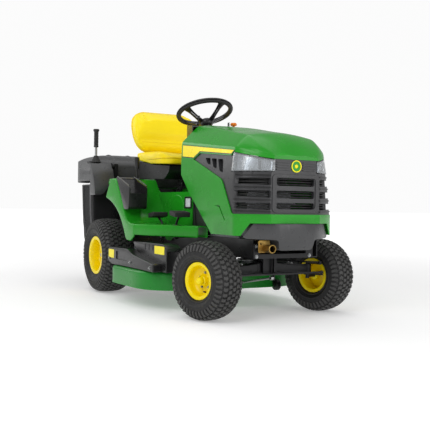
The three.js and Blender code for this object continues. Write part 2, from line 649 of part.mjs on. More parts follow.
function hoodBlock(inset) {
  const deep = inset > 0 ? 60 : 0;
  return loft(HOOD_STATIONS.map(({ x, low, side, sideZ, roof, roofZ, top }, i) => {
    const shifted = x - (i === HOOD_STATIONS.length - 1 ? inset : 0) - (i === 0 ? deep : 0);
    const half = [
      [low - inset, HOOD_LOW - deep], [low - inset, STRIP_TOP], [side - inset, sideZ - inset / 2],
      [roof - inset / 2, roofZ - inset],
    ];
    const right = half.map(([y, z]) => [shifted, -y, z]);
    const left = half.map(([y, z]) => [shifted, y, z]).reverse();
    return [...right, [shifted, 0, top - inset], ...left];
  }));
}

const HOOD_SIDE = [[780, 1010], [780, 890], [793, 712], [900, 608], [1160, 409], [1421, 409], [1448, 468],
  [1520, 468], [1520, 1010]];
const FACE_OPENING = [[935, 789], [1003, 817], [1325, 789], [1352, 806], [1530, 760], [1530, STRIP_TOP],
  [1372, STRIP_TOP], [1269, 659], [1250, 678]];
function hoodShell() {
  const skin = common(cut(hoodBlock(0), hoodBlock(HOOD_SKIN)), sideSlab(HOOD_SIDE, -300, 300));
  const roofSlit = block(975, 1250, -5, 5, 880, 1000);
  const sideSlit = sideSlab([[1190, 549], [1246, 549], [1312, 478], [1302, 478], [1240, 543]], -300, 300);
  return cut(skin, sideSlab(FACE_OPENING, -300, 300), roofSlit, sideSlit);
}
add('hood_shell', hoodShell(), GREEN());

const GRILLE_ROWS = [664, 605, 548];
function grille() {
  const behind = [[925, 785], [1000, 826], [1325, 798], [1348, 800], [1530, 768], [1530, 506], [1364, 503],
    [1262, 652], [1244, 670]];
  const face = common(cut(hoodBlock(HOOD_SKIN + 1), hoodBlock(HOOD_SKIN + 9)), sideSlab(behind, -300, 300));
  const lampPocket = block(1338, 1540, 121, 300, 709, 900);
  const rows = GRILLE_ROWS.flatMap((z) => [
    block(1440, 1540, -112, 112, z - 17, z + 17),
    block(1385, 1540, 148, 226, z - 15, z + 15),
    block(1385, 1540, -226, -148, z - 15, z + 15),
  ]);
  const sideVents = [0, 1, 2].map((i) => sideSlab([
    [1075 + 70 * i, 790], [1125 + 70 * i, 786], [1125 + 70 * i, 735 - 22 * i],
      [1075 + 70 * i, 748 - 22 * i],
  ], -300, 300));
  return cut(face, lampPocket, mirrored(lampPocket), ...rows, ...sideVents);
}
add('grille', grille(), BLACK());

function headlight() {
  const lens = sideSlab([[1345, 712], [1530, 712], [1530, 758], [1354, 803], [1345, 795]], -300, -123);
  const depth = planSlab([[1345, -300], [1345, -232], [1430, -160], [1462, -123], [1530, -123],
    [1530, -300]], 700, 820);
  return common(common(hoodBlock(1), lens), depth);
}
add('headlight_right', headlight(), finish(0xd5dade, 0.15, 0.3));
add('headlight_left', mirrored(headlight()), finish(0xd5dade, 0.15, 0.3));

// ---------------------------------------------------------------- mower deck and its lift
function deckPlan(inset) {
  const { rear, front, half } = DECK;
  const side = [[rear + inset, half - inset, 60], [880 - inset / 2, half - inset, 80],
    [front - inset, 330, 50]];
  const far = side.map(([x, y, r]) => [x, -y, r]).reverse();
  return [...side, ...far];
}
function deckShell() {
  const { low, top, wall, rear } = DECK;
  const shell = cut(planSlab(deckPlan(0), low, top), planSlab(deckPlan(wall), low - 10, top - wall));
  const rearLug = join(block(449, 481, 311, 318, top - 2, 226));
  const frontLug = block(975, 1016, 11, 17, 126, 154);
  const spindleBore = bar([BLADE.x, BLADE.y, 150], [BLADE.x, BLADE.y, 250], 15, 16);
  const rearPinBore = acrossBar(DECK_REAR_PIN.x, DECK_REAR_PIN.z, -340, 340, 7.6, 16);
  const frontPinBore = acrossBar(DECK_FRONT_PIN.x, DECK_FRONT_PIN.z, -40, 40, 7, 12);
  const outlet = block(rear - 10, rear + 10, -142, 142, low - 10, top - wall);
  return cut(
    join(shell, rearLug, mirrored(rearLug), frontLug, mirrored(frontLug)),
    outlet, spindleBore, mirrored(spindleBore), rearPinBore, frontPinBore,
  );
}
add('deck_shell', deckShell(), GREEN());

function beltCover() {
  const base = DECK.top + 0.4;
  const tall = sideSlab([[545, 347, 8], [614, 273], [700, 225], [752, base], [982, base], [985, 325, 8],
    [940, 347, 8]],
    345, 430);
  const low = sideSlab([[305, 216, 6], [305, 300, 8], [600, 305, 8], [645, 280, 8], [935, 244, 8],
    [935, base],
    [352, base]], 425, 482);
  return join(tall, low);
}
add('belt_cover_right', mirrored(beltCover()), BLACK());
add('belt_cover_left', beltCover(), BLACK());

function bladeSpindle() {
  const { half, z } = BLADE;
  return join(
    block(-half, half, -27, 27, z - 2, z + 2),
    bar([0, 0, z - 8], [0, 0, 233], 12, 16),
    bar([0, 0, z + 1], [0, 0, z + 14], 30, 18),
    bar([0, 0, 214], [0, 0, 230], 58, 24),
  );
}
for (const [name, side] of [['right', -1], ['left', 1]]) {
  add(`blade_spindle_${name}`, bladeSpindle(), CAST(), place(BLADE.x, side * BLADE.y, 0));
}

function liftArm() {
  const arm = join(
    bar([0, 303, 0], [-LINK_RUN, 303, -LINK_RISE], 7.6, 12),
    acrossBar(-LINK_RUN, -LINK_RISE, 296, 324, 6.4, 14),
  );
  return join(acrossBar(0, 0, -332, 332, 10, 16), arm, mirrored(arm));
}
add('lift_arm', liftArm(), BLACK_STEEL(), place(ROCKSHAFT.x, 0, ROCKSHAFT.z));

function draftLink() {
  return join(
    cut(acrossBar(0, 0, -8, 8, 11, 14), acrossBar(0, 0, -20, 20, 6, 12)),
    bar([-8, 0, -1.4], [-LINK_RUN, 0, -LINK_RISE], 5.5, 12),
    acrossBar(-LINK_RUN, -LINK_RISE, -20, 20, 4.5, 10),
  );
}
add('front_draft_link', draftLink(), ZINC(), place(FRONT_HANGER.x, 0, FRONT_HANGER.z));

function liftLever() {
  const { x, y, z } = LEVER_PIVOT;
  return join(
    cut(acrossBar(x, z, y - 8, y + 8, 15, 16), acrossBar(x, z, y - 20, y + 20, 8, 14)),
    bar([x - 1, y, z + 12], [x - 16, y, 800], 5.5, 10),
    bar([x - 14, y, 762], [x - 18, y, 832], 13, 14, 15),
  );
}
add('lift_lever', liftLever(), BLACK());

// ---------------------------------------------------------------- pedals
function pedal(footX, padX, padZ, side) {
  const y = side * PEDAL_Y;
  const lean = Math.sign(padX - footX);
  return join(
    cut(acrossBar(footX, PEDAL_Z, y - 9, y + 9, 14, 16), acrossBar(footX, PEDAL_Z, y - 20, y + 20, 8, 14)),
    bar([footX, y, PEDAL_Z + 11], [footX, y, 446], 6, 10),
    bar([footX, y, 443], [padX, y, padZ], 6, 10),
    sideSlab([[padX - 28, padZ - 6 - 8 * lean, 4], [padX + 28, padZ - 6 - 8 * lean, 4],
      [padX + 28, padZ + 12, 5],
      [padX - 28, padZ + 12, 5]], y - 44, y + 44),
  );
}
add('forward_pedal', pedal(829, 872, 508, -1), BLACK());
add('reverse_pedal', pedal(655, 597, 498, -1), BLACK());
add('brake_pedal', pedal(829, 872, 508, 1), BLACK());

// ---------------------------------------------------------------- seat
function seatBracket() {
  const { x, z } = SEAT_PIVOT;
  const lug = cut(
    join(block(x - 12, x + 12, 86, 96, z - 10, 656), acrossBar(x, z, 86, 96, 12, 14)),
    acrossBar(x, z, 80, 100, 6.8, 12),
  );
  return join(block(60, x + 12, -96, 96, 652, 659), lug, mirrored(lug));
}
add('seat_bracket', seatBracket(), BLACK_STEEL());

function seatPan() {
  const tub = cut(
    sideSlab([[52, 778, 30], [60, 716, 30], [430, 700, 20], [492, 742, 14], [500, 776], [290, 790],
      [60, 822, 10]],
      -186, 186),
    sideSlab([[66, 850], [70, 724, 24], [425, 710, 20], [484, 746, 10], [489, 850]], -176, 176),
  );
  const runner = join(block(80, 430, 78, 100, 661, 670), block(90, 420, 84, 94, 668, 722));
  const backPlate = sideSlab([[28, 790], [60, 790], [60, 816], [48, 828], [48, 868], [-6, 1000],
    [-46, 1105, 5],
    [-58, 1105, 5], [-24, 1000], [26, 868]], -120, 120);
  return join(tub, runner, mirrored(runner), backPlate);
}
add('seat_pan', seatPan(), BLACK());

function seatCushion() {
  const pad = sideSlab([
    [52, 829, 10], [62, 862, 14], [150, 858], [420, 868, 40], [508, 846, 30], [508, 788, 16], [290, 797],
  ], -222, 222);
  return common(pad, planSlab([
    [50, -218, 24], [460, -222, 70], [512, -160, 60], [512, 160, 60], [460, 222, 70], [50, 218, 24],
  ], 700, 950));
}
add('seat_cushion', seatCushion(), VINYL());

function seatBackrest() {
  const side = sideSlab([
    [58, 868.5, 12], [124, 872, 20], [106, 1000], [52, 1146, 30], [0, 1158, 14], [-46, 1148, 20],
      [-38, 1106], [4, 1000],
  ], -222, 222);
  const face = frontSlab([
    [-160, 868, 60], [160, 868, 60], [222, 950, 60], [214, 1110, 90], [116, 1160, 40],
    [-116, 1160, 40], [-214, 1110, 90], [-222, 950, 60],
  ], -100, 200);
  return common(side, face);
}
add('seat_backrest', seatBackrest(), VINYL());

// ---------------------------------------------------------------- grass catcher
function lidBlock(inset) {
  const half = 400 - inset;
  const [front, rear, roof] = [CATCHER_FRONT - inset, REAR_END + inset, 894 - inset];
  const base = 700 - 4 * inset;
  const side = sideSlab([[front, base], [front, 745, 20], [front - 26, 832, 30], [-396, roof, 60],
    [-590, roof - 26, 60],
    [rear + 20, 770, 50], [rear, base]], -500, 500);
  const plan = planSlab([[front, -half], [-500, -half, 90], [rear, -300, 110], [rear, 300, 110],
    [-500, half, 90],
    [front, half]], 600, 950);
  const section = frontSlab([[-half, 650], [-half, 775, 30], [-340 + inset, roof - 14, 60],
    [340 - inset, roof - 14, 60],
    [half, 775, 30], [half, 650]], -900, -200);
  return common(common(side, plan), section);
}
const HANDLE = { x: -289, y: -350, bootTop: 868 };
function catcherLid() {
  const lobe = join(
    sideSlab([[-263, 642], [-159, 605, 16], [-224, 746, 20], [-263, 800]], 330, 400),
    sideSlab([[-263, 702], [-192, 690, 16], [-224, 746, 20], [-263, 800]], 256, 340),
  );
  const { x, z } = CATCHER_PIVOT;
  const lug = join(block(-290, x, 243, 253, z - 18, z + 18), acrossBar(x, z, 243, 253, 18, 16));
  const boot = bar([HANDLE.x, HANDLE.y, 815], [HANDLE.x, HANDLE.y, HANDLE.bootTop], 34, 16, 16);
  const shell = join(cut(lidBlock(0), lidBlock(4)), lobe, mirrored(lobe), lug, mirrored(lug), boot);
  const lowLobeGap = block(-400, CATCHER_FRONT + 0.6, -420, 420, 600, 699.9);
  const pinBore = acrossBar(x, z, -300, 300, 9, 16);
  const handleBore = bar([HANDLE.x, HANDLE.y, 600], [HANDLE.x, HANDLE.y, 950], 10, 14);
  return cut(shell, lowLobeGap, pinBore, handleBore, block(-400, -266.5, -396, 396, 600, 760));
}
add('catcher_lid', catcherLid(), DARK_GREY());

function bagRing(z, front, side, rear, rearHalf, inset) {
  const half = [[front - inset, side - inset], [-500, side - inset],
    [rear + 60 + inset, rearHalf + 20 - inset],
    [rear + inset, rearHalf - 60 - inset]];
  return [...half.map(([x, y]) => [x, -y, z]), ...half.map(([x, y]) => [x, y, z]).reverse()];
}
function catcherBag() {
  const shape = (inset) => loft([
    bagRing(230 + inset, CATCHER_FRONT - 30, 322, REAR_END + 120, 226, inset),
    bagRing(320, CATCHER_FRONT, 362, REAR_END + 48, 270, inset),
    bagRing(500, CATCHER_FRONT, 372, REAR_END + 26, 278, inset),
    bagRing(699.4 + inset * 2, CATCHER_FRONT, 376, REAR_END + 22, 280, inset),
  ]);
  const mouth = block(CATCHER_FRONT - 40, CATCHER_FRONT + 20, -160, 160, 326, 602);
  return cut(shape(0), shape(5), mouth);
}
add('catcher_bag', catcherBag(), finish(0x202022, 0.9));

add('dump_handle', join(
  bar([HANDLE.x, HANDLE.y, 640], [HANDLE.x, HANDLE.y, 960], 8, 12),
  bar([HANDLE.x, HANDLE.y, 925], [HANDLE.x, HANDLE.y, 1036], 15, 16, 16),
  bar([HANDLE.x, HANDLE.y, 1034], [HANDLE.x, HANDLE.y, 1045], 19, 16),
), BLACK());

// ---------------------------------------------------------------- dash controls
add('throttle_lever', join(
  acrossBar(0, 10, -9, 9, 6, 14),
  bar([0, 0, 10], [8, 0, 46], 3.5, 10),
  bar([7, 0, 42], [10, 0, 56], 9, 14, 7),
), BLACK(), place(700, -110, 995));
add('blade_knob', join(
  bar([0, 0, 0], [0, 0, 14], 7, 14),
  bar([0, 0, 12], [0, 0, 20], 15, 18, 20),
  bar([0, 0, 19.9], [0, 0, 30], 20, 18, 15),
), finish(0xf07818, 0.4), place(672, 140, 1000));
add('ignition_key', join(
  bar([0, 0, 0], [0, 0, 9], 9, 16),
  block(-10, 10, -1.5, 1.5, 8, 30),
), ZINC(), place(735, 70, 992));

export default model;
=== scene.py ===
"""Looks for a riding lawn mower with a rear grass catcher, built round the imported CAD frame.

Shapes are written in millimetres from the rear axle line, as the CAD part is, and turned into
metres in the shared frame by at().
"""

import math

import bmesh
import bpy
from mathutils import Matrix, Vector


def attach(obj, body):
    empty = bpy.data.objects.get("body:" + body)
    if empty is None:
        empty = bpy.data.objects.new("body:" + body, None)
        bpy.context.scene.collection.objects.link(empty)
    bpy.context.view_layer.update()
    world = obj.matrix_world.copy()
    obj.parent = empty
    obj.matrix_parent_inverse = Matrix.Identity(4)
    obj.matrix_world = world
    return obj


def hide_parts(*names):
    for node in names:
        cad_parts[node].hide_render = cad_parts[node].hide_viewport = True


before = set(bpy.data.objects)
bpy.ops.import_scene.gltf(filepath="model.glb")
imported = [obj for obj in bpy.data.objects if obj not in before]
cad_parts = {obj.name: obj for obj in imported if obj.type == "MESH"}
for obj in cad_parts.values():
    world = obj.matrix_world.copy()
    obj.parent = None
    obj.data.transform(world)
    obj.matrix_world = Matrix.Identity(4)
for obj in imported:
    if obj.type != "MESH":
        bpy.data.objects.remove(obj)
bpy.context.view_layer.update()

MID = 352                       # from the rear axle line to the middle of the frame's length
STEER = math.radians(15.5)      # how far the front wheels are turned at rest
FRONT_AXLE_X = 1245
KINGPIN_Y = 262
FRONT_WHEEL_OFFSET = 94         # from the kingpin to the middle of a front wheel
REAR_WHEEL_Y = 368
PEDAL_Y = 300
HINGE_X, HINGE_Z = 470, 645     # the seat's hinge line
WHEEL_X, WHEEL_Z = 575, 1092    # the middle of the steering wheel
FENDER_TOP = 700
FOOTREST_TOP = 441
EXHAUST_Y, EXHAUST_Z = -132, 350
SIDES = ((-1, "right"), (1, "left"))
UP = (0, 0, 1)
FORWARD = (1, 0, 0)
SIDEWAYS = (0, 1, 0)


def at(x, y, z):
    return Vector(((x - MID) / 1000, y / 1000, z / 1000))


# ---------------------------------------------------------------- materials
class Nodes:
    """A node tree with one principled shader, built up call by call."""

    def __init__(self, name, color, rough, metal=0.0, coat=0.0, sheen=0.0, specular=0.5):
        self.material = bpy.data.materials.new(name)
        self.material.use_nodes = True
        self.material.diffuse_color = (*color, 1)
        self.tree = self.material.node_tree
        self.shader = self.tree.nodes["Principled BSDF"]
        self.coords = self.tree.nodes.new("ShaderNodeTexCoord").outputs["Object"]
        self.color = None
        self.set("Base Color", (*color, 1))
        self.set("Roughness", rough)
        self.set("Metallic", metal)
        self.set("Coat Weight", coat)
        self.set("Coat Roughness", 0.08)
        self.set("Sheen Weight", sheen)
        self.set("Specular IOR Level", specular)
        self.base = color
        self.normal = None

    def set(self, socket, value):
        self.shader.inputs[socket].default_value = value

    def node(self, kind, **inputs):
        made = self.tree.nodes.new(kind)
        for key, value in inputs.items():
            made.inputs[key.replace("_", " ")].default_value = value
        return made

    def link(self, source, target):
        self.tree.links.new(source, target)

    def stretched(self, scale):
        mapping = self.node("ShaderNodeMapping", Scale=scale)
        self.link(self.coords, mapping.inputs["Vector"])
        return mapping.outputs["Vector"]

    def noise(self, scale, detail=3.0, stretch=(1, 1, 1), rough=0.55):
        made = self.node("ShaderNodeTexNoise", Scale=scale, Detail=detail, Roughness=rough)
        self.link(self.stretched(stretch), made.inputs["Vector"])
        return made.outputs["Fac"]

    def ramp(self, source, low, high, start=0.3, end=0.7):
        made = self.node("ShaderNodeMapRange", From_Min=start, From_Max=end, To_Min=low, To_Max=high)
        self.link(source, made.inputs["Value"])
        return made.outputs["Result"]

    def mix(self, factor, second):
        """Blends the colour so far towards a second colour by a factor."""
        made = self.tree.nodes.new("ShaderNodeMix")
        made.data_type = "RGBA"
        if self.color is None:
            made.inputs[6].default_value = (*self.base, 1)
        else:
            self.link(self.color, made.inputs[6])
        made.inputs[7].default_value = (*second, 1)
        self.link(factor, made.inputs[0])
        self.color = made.outputs[2]
        self.link(self.color, self.shader.inputs["Base Color"])
        return self

    def roughness(self, source):
        self.link(source, self.shader.inputs["Roughness"])
        return self

    def bump(self, height, strength, distance):
        made = self.node("ShaderNodeBump", Strength=strength, Distance=distance)
        self.link(height, made.inputs["Height"])
        if self.normal is not None:
            self.link(self.normal, made.inputs["Normal"])
        self.normal = made.outputs["Normal"]
        self.link(self.normal, self.shader.inputs["Normal"])
        return self

    def edge_wear_and_highlight(self, second, amount):
        """Lighter edges, found from the mesh's own pointiness: partly wear, partly a painted highlight."""
        geometry = self.tree.nodes.new("ShaderNodeNewGeometry")
        factor = self.ramp(geometry.outputs["Pointiness"], 0.0, amount, 0.52, 0.6)
        return self.mix(factor, second)


def shade(color, factor):
    return tuple(min(1.0, channel * factor) for channel in color)


def gloss_paint(name, color, rough, peel=0.05, metal=0.0):
    n = Nodes(name, color, rough, metal=metal, coat=0.06, specular=0.3)
    n.mix(n.ramp(n.noise(5), 0.0, 0.35), shade(color, 0.82))
    n.roughness(n.ramp(n.noise(14, 5), rough * 0.8, rough * 1.35))
    n.bump(n.noise(900, 2), peel, 0.0006)
    n.bump(n.noise(24, 1), peel, 0.0008)
    # lighter edges: partly wear, partly a painted edge highlight
    n.edge_wear_and_highlight(shade(color, 1.35), 0.35)
    return n.material


def moulded(name, color, rough, grain=0.25, scale=1400.0):
    n = Nodes(name, color, rough, specular=0.5)
    n.mix(n.ramp(n.noise(9, 4), 0.0, 0.5), shade(color, 1.35))
    n.roughness(n.ramp(n.noise(40, 4), rough * 0.85, rough * 1.2))
    n.bump(n.noise(scale, 3, rough=0.7), grain, 0.0004)
    # lighter edges: partly wear, partly a painted edge highlight
    n.edge_wear_and_highlight(shade(color, 1.8), 0.4)
    return n.material


def bare_metal(name, color, rough, stretch=(1, 1, 1), grain=0.2, scale=500.0):
    n = Nodes(name, color, rough, metal=1.0)
    n.mix(n.ramp(n.noise(18, 5), 0.0, 0.7), shade(color, 0.55))
    n.roughness(n.ramp(n.noise(60, 5, stretch), rough * 0.7, rough * 1.5))
    n.bump(n.noise(scale, 4, stretch), grain, 0.0005)
    return n.material


def tyre_rubber():
    n = Nodes("tyre_rubber", (0.009, 0.009, 0.0095), 0.6, specular=0.45)
    n.mix(n.ramp(n.noise(12, 5), 0.0, 0.55), (0.02, 0.0197, 0.0194))
    n.roughness(n.ramp(n.noise(80, 5), 0.42, 0.72))
    n.bump(n.noise(700, 4), 0.35, 0.0006)
    # lighter block edges: partly wear, partly a painted edge highlight
    n.edge_wear_and_highlight((0.07, 0.069, 0.067), 0.6)
    return n.material


def vinyl(name, color):
    n = Nodes(name, color, 0.42, coat=0.02, sheen=0.04, specular=0.3)
    n.mix(n.ramp(n.noise(6, 3), 0.0, 0.4), shade(color, 0.88))
    cells = n.node("ShaderNodeTexVoronoi", Scale=420.0)
    n.link(n.coords, cells.inputs["Vector"])
    n.roughness(n.ramp(n.noise(25, 3), 0.36, 0.5))
    n.bump(cells.outputs["Distance"], 0.18, 0.0007)
    n.bump(n.noise(22, 3), 0.12, 0.004)
    return n.material


def woven(name, color):
    """A coarse plain weave: two crossed wave patterns, with dusty variation."""
    n = Nodes(name, color, 0.88, sheen=0.06, specular=0.2)
    n.mix(n.ramp(n.noise(7, 5), 0.0, 0.8), shade(color, 1.9))
    threads = []
    for direction in ("Z", "DIAGONAL"):
        wave = n.node("ShaderNodeTexWave", Scale=95.0, Distortion=0.6)
        wave.bands_direction = direction
        n.link(n.coords, wave.inputs["Vector"])
        threads.append(wave.outputs["Fac"])
    both = n.node("ShaderNodeMath")
    both.operation = "MAXIMUM"
    n.link(threads[0], both.inputs[0])
    n.link(threads[1], both.inputs[1])
    n.mix(n.ramp(both.outputs["Value"], 0.0, 0.5, 0.4, 0.9), shade(color, 2.4))
    n.bump(both.outputs["Value"], 0.6, 0.0012)
    return n.material


def clear_lens():
    n = Nodes("clear_lens", (0.86, 0.9, 0.93), 0.05, coat=0.6)
    n.set("Transmission Weight", 0.82)
    n.set("IOR", 1.3)
    flutes = n.node("ShaderNodeTexWave", Scale=34.0, Distortion=0.0)
    flutes.bands_direction = "Y"
    n.link(n.coords, flutes.inputs["Vector"])
    n.bump(flutes.outputs["Fac"], 0.12, 0.002)
    n.roughness(n.ramp(n.noise(20), 0.03, 0.14))
    return n.material


GREEN = gloss_paint("green_gloss", (0.014, 0.275, 0.012), 0.22)
DECK_GREEN = gloss_paint("deck_green", (0.008, 0.225, 0.020), 0.3, 0.1)
YELLOW = gloss_paint("yellow_paint", (0.96, 0.73, 0.0), 0.22)
STRIPE = gloss_paint("yellow_stripe", (0.95, 0.74, 0.0), 0.3, 0.02)
BLACK = moulded("black_plastic", (0.0075, 0.0075, 0.008), 0.3)
GREY = moulded("dark_grey_plastic", (0.026, 0.026, 0.028), 0.3)
LID_GREY = moulded("lid_grey_plastic", (0.042, 0.043, 0.045), 0.3, 0.3, 900.0)
GRIP = moulded("soft_grip", (0.014, 0.014, 0.014), 0.62, 0.5, 700.0)
BLACK_STEEL = gloss_paint("black_steel", (0.013, 0.013, 0.014), 0.32, 0.12, 0.2)
CAST = bare_metal("cast_metal", (0.27, 0.28, 0.29), 0.5, grain=0.6, scale=260.0)
ZINC = bare_metal("zinc_plate", (0.46, 0.47, 0.47), 0.3, (1, 1, 8))
CHROME = bare_metal("chrome_reflector", (0.48, 0.49, 0.51), 0.1, grain=0.02)
BRASS = bare_metal("brassy_pipe", (0.42, 0.27, 0.08), 0.32, (1, 8, 8), 0.35)
TYRE = tyre_rubber()
VINYL = vinyl("seat_vinyl", (1.0, 0.78, 0.0))
PIPING = vinyl("seat_piping", (0.86, 0.60, 0.0))
FABRIC = woven("bag_fabric", (0.008, 0.008, 0.0085))
STRAP = woven("grey_webbing", (0.05, 0.05, 0.052))
LENS = clear_lens()
TANK = moulded("tank_plastic", (0.75, 0.75, 0.7), 0.35, 0.1)
ORANGE = gloss_paint("orange_plastic", (0.85, 0.22, 0.01), 0.25)
PALE = moulded("pale_window", (0.5, 0.52, 0.54), 0.25, 0.1)
DARK = moulded("deep_shadow_plastic", (0.006, 0.006, 0.006), 0.7)


# ---------------------------------------------------------------- mesh helpers
def new_object(name, mesh):
    made = bpy.data.objects.new(name, mesh)
    bpy.context.scene.collection.objects.link(made)
    return made


def from_data(points, faces):
    """A mesh from points in millimetres, with its faces turned outward."""
    mesh = bpy.data.meshes.new("part")
    mesh.from_pydata([at(*point) for point in points], [], faces)
    work = bmesh.new()
    work.from_mesh(mesh)
    bmesh.ops.recalc_face_normals(work, faces=work.faces)
    work.to_mesh(mesh)
    work.free()
    return new_object("part", mesh)


def rounded(points, segments):
    """An outline of (a, b) points; a third number rounds that corner."""
    out = []
    for i, point in enumerate(points):
        corner = Vector(point[:2])
        radius = point[2] if len(point) > 2 else 0
        if radius == 0:
            out.append(tuple(corner))
            continue
        before = Vector(points[i - 1][:2]) - corner
        after = Vector(points[(i + 1) % len(points)][:2]) - corner
        start = corner + before.normalized() * min(radius, 0.48 * before.length)
        end = corner + after.normalized() * min(radius, 0.48 * after.length)
        for k in range(segments + 1):
            t = k / segments
            out.append(tuple(start * (1 - t) ** 2 + corner * 2 * t * (1 - t) + end * t * t))
    return out


SPREAD = {
    "side": lambda a, b, c: (a, c, b),
    "plan": lambda a, b, c: (a, b, c),
    "front": lambda a, b, c: (c, a, b),
}


def prism(points, plane, low, high, segments=5):
    """An outline pushed through a span: side is (x, z), plan is (x, y), front is (y, z)."""
    ring = rounded(points, segments)
    count = len(ring)
    corners = [SPREAD[plane](a, b, c) for c in (low, high) for a, b in ring]
    faces = [[i, (i + 1) % count, (i + 1) % count + count, i + count] for i in range(count)]
    faces += [list(range(count)), list(range(2 * count - 1, count - 1, -1))]
    return from_data(corners, faces)


def side_plate(points, side, near, far, segments=5):
    """An (x, z) outline between two distances from the centreline, right (-1) or left (1)."""
    low, high = sorted((side * near, side * far))
    return prism(points, "side", low, high, segments)


def oblong(a0, a1, b0, b1, radius=0):
    """A rectangle's outline with rounded corners."""
    return [(a0, b0, radius), (a1, b0, radius), (a1, b1, radius), (a0, b1, radius)]


def box(x0, x1, y0, y1, z0, z1):
    return prism(oblong(x0, x1, y0, y1), "plan", z0, z1)


def skin(rings, closed_ring=True, caps=True, wrap=False):
    """A skin through rings that all hold the same number of points."""
    count, total = len(rings[0]), len(rings)
    faces = []
    for r in range(total if wrap else total - 1):
        below, above = r * count, (r + 1) % total * count
        for i in range(count if closed_ring else count - 1):
            j = (i + 1) % count
            faces.append([below + i, below + j, above + j, above + i])
    if caps and not wrap:
        faces += [list(range(count)), list(range((total - 1) * count, total * count))]
    return from_data([point for ring in rings for point in ring], faces)


def bake(obj):
    """Turns a piece's modifiers into plain mesh."""
    depsgraph = bpy.context.evaluated_depsgraph_get()
    mesh = bpy.data.meshes.new_from_object(obj.evaluated_get(depsgraph))
    obj.modifiers.clear()
    obj.data = mesh
    return obj


def combine(obj, others, kind):
    for other in others:
        modifier = obj.modifiers.new("boolean", "BOOLEAN")
        modifier.operation = kind
        modifier.solver = "EXACT"
        modifier.object = other
        bake(obj)
        bpy.data.objects.remove(other)
    return obj


def cut(obj, *others):
    return combine(obj, others, "DIFFERENCE")


def keep(obj, *others):
    return combine(obj, others, "INTERSECT")


def join(obj, *others):
    return combine(obj, others, "UNION")


def merged(objects):
    """Several loose pieces as one object, without a boolean."""
    work = bmesh.new()
    for obj in objects:
        work.from_mesh(obj.data)
        bpy.data.objects.remove(obj)
    mesh = bpy.data.meshes.new("part")
    work.to_mesh(mesh)
    work.free()
    return new_object("part", mesh)


def flipped(obj):
    """Turns a piece into its own mirror image across the centreline."""
    obj.data.transform(Matrix.Diagonal((1, -1, 1, 1)))
    obj.data.flip_normals()
    return obj


def mirror_copy(obj):
    return flipped(new_object(obj.name, obj.data.copy()))


def smooth(obj, degrees):
    work = bmesh.new()
    work.from_mesh(obj.data)
    for face in work.faces:
        face.smooth = True
    limit = math.radians(degrees)
    for edge in work.edges:
        edge.smooth = len(edge.link_faces) != 2 or edge.calc_face_angle(4) < limit
    work.to_mesh(obj.data)
    work.free()


def soften(obj, width, segments, degrees=35):
    """Rounds a piece's hard edges by a width in millimetres."""
    bevel = obj.modifiers.new("rounding", "BEVEL")
    bevel.width = width / 1000
    bevel.segments = segments
    bevel.limit_method = "ANGLE"
    bevel.angle_limit = math.radians(degrees)
    return obj


def subdivide(obj, levels):
    modifier = obj.modifiers.new("subdivision", "SUBSURF")
    modifier.levels = modifier.render_levels = levels
    return obj


def settle(obj, name, material, body, round_mm=0, degrees=32, segments=3, stands_for=()):
    """Names, shades and paints a piece, or a list of loose pieces, and puts it on its body."""
    if isinstance(obj, list):
        obj = merged(obj)
    obj.name = obj.data.name = name
    obj.data.materials.clear()
    obj.data.materials.append(material)
    for polygon in obj.data.polygons:
        polygon.material_index = 0
    if round_mm:
        soften(obj, round_mm, segments)
        bake(obj)
        obj.data.name = name
    smooth(obj, degrees)
    if round_mm:
        weighted = obj.modifiers.new("normals", "WEIGHTED_NORMAL")
        weighted.keep_sharp = True
    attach(obj, body)
    if stands_for:
        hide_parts(*stands_for)
    return obj


def tube(points, radius, sides, smooth_path=True, closed=False):
    """A round bar along a path through points in millimetres."""
    curve = bpy.data.curves.new("path", "CURVE")
    curve.dimensions = "3D"
    curve.bevel_depth = radius / 1000
    curve.bevel_resolution = max(1, sides // 4 - 1)
    curve.resolution_u = 6
    curve.use_fill_caps = not closed
    spline = curve.splines.new("BEZIER" if smooth_path else "POLY")
    holder = spline.bezier_points if smooth_path else spline.points
    holder.add(len(points) - 1)
    for place, point in zip(holder, points):
        if smooth_path:
            place.co = at(*point)
            place.handle_left_type = place.handle_right_type = "AUTO"
        else:
            place.co = (*at(*point), 1)
    spline.use_cyclic_u = closed
    bar = new_object("path", curve)
    depsgraph = bpy.context.evaluated_depsgraph_get()
    mesh = bpy.data.meshes.new_from_object(bar.evaluated_get(depsgraph))
    bpy.data.objects.remove(bar)
    return new_object("part", mesh)


def lathe(profile, axis_point, axis, sides, closed=True):
    """A profile of (radius, along) points turned about an axis through a point, in millimetres."""
    along = Vector(axis).normalized()
    across = along.orthogonal().normalized()
    third = along.cross(across)
    centre = Vector(axis_point)
    rings = []
    for i in range(sides):
        angle = math.tau * i / sides
        out = across * math.cos(angle) + third * math.sin(angle)
        rings.append([tuple(centre + out * radius + along * height) for radius, height in profile])
    return skin(rings, closed_ring=closed, wrap=True)


def rod(centre, axis, radius, low, high, sides=32):
    """A plain round bar about an axis through a point."""
    return lathe([(0.01, low), (radius, low), (radius, high), (0.01, high)], centre, axis, sides)


def disc(centre, axis, radius, low, high, chamfer, sides=24):
    """A short round boss with a chamfered rim, closed on its axis."""
    profile = [(0.01, low), (radius - chamfer, low), (radius, low + chamfer),
               (radius, high - chamfer), (radius - chamfer, high), (0.01, high)]
    return lathe(profile, centre, axis, sides)


def bolt(centre, axis, size):
    """A hexagon head on a washer."""
    washer = disc(centre, axis, size * 1.3, 0, 1.6, 0.4)
    head = disc(centre, axis, size, 1.6, 6.5, 1.0, 6)
    stud = disc(centre, axis, size * 0.5, 6.4, 9.0, 0.6, 12)
    return merged([washer, head, stud])


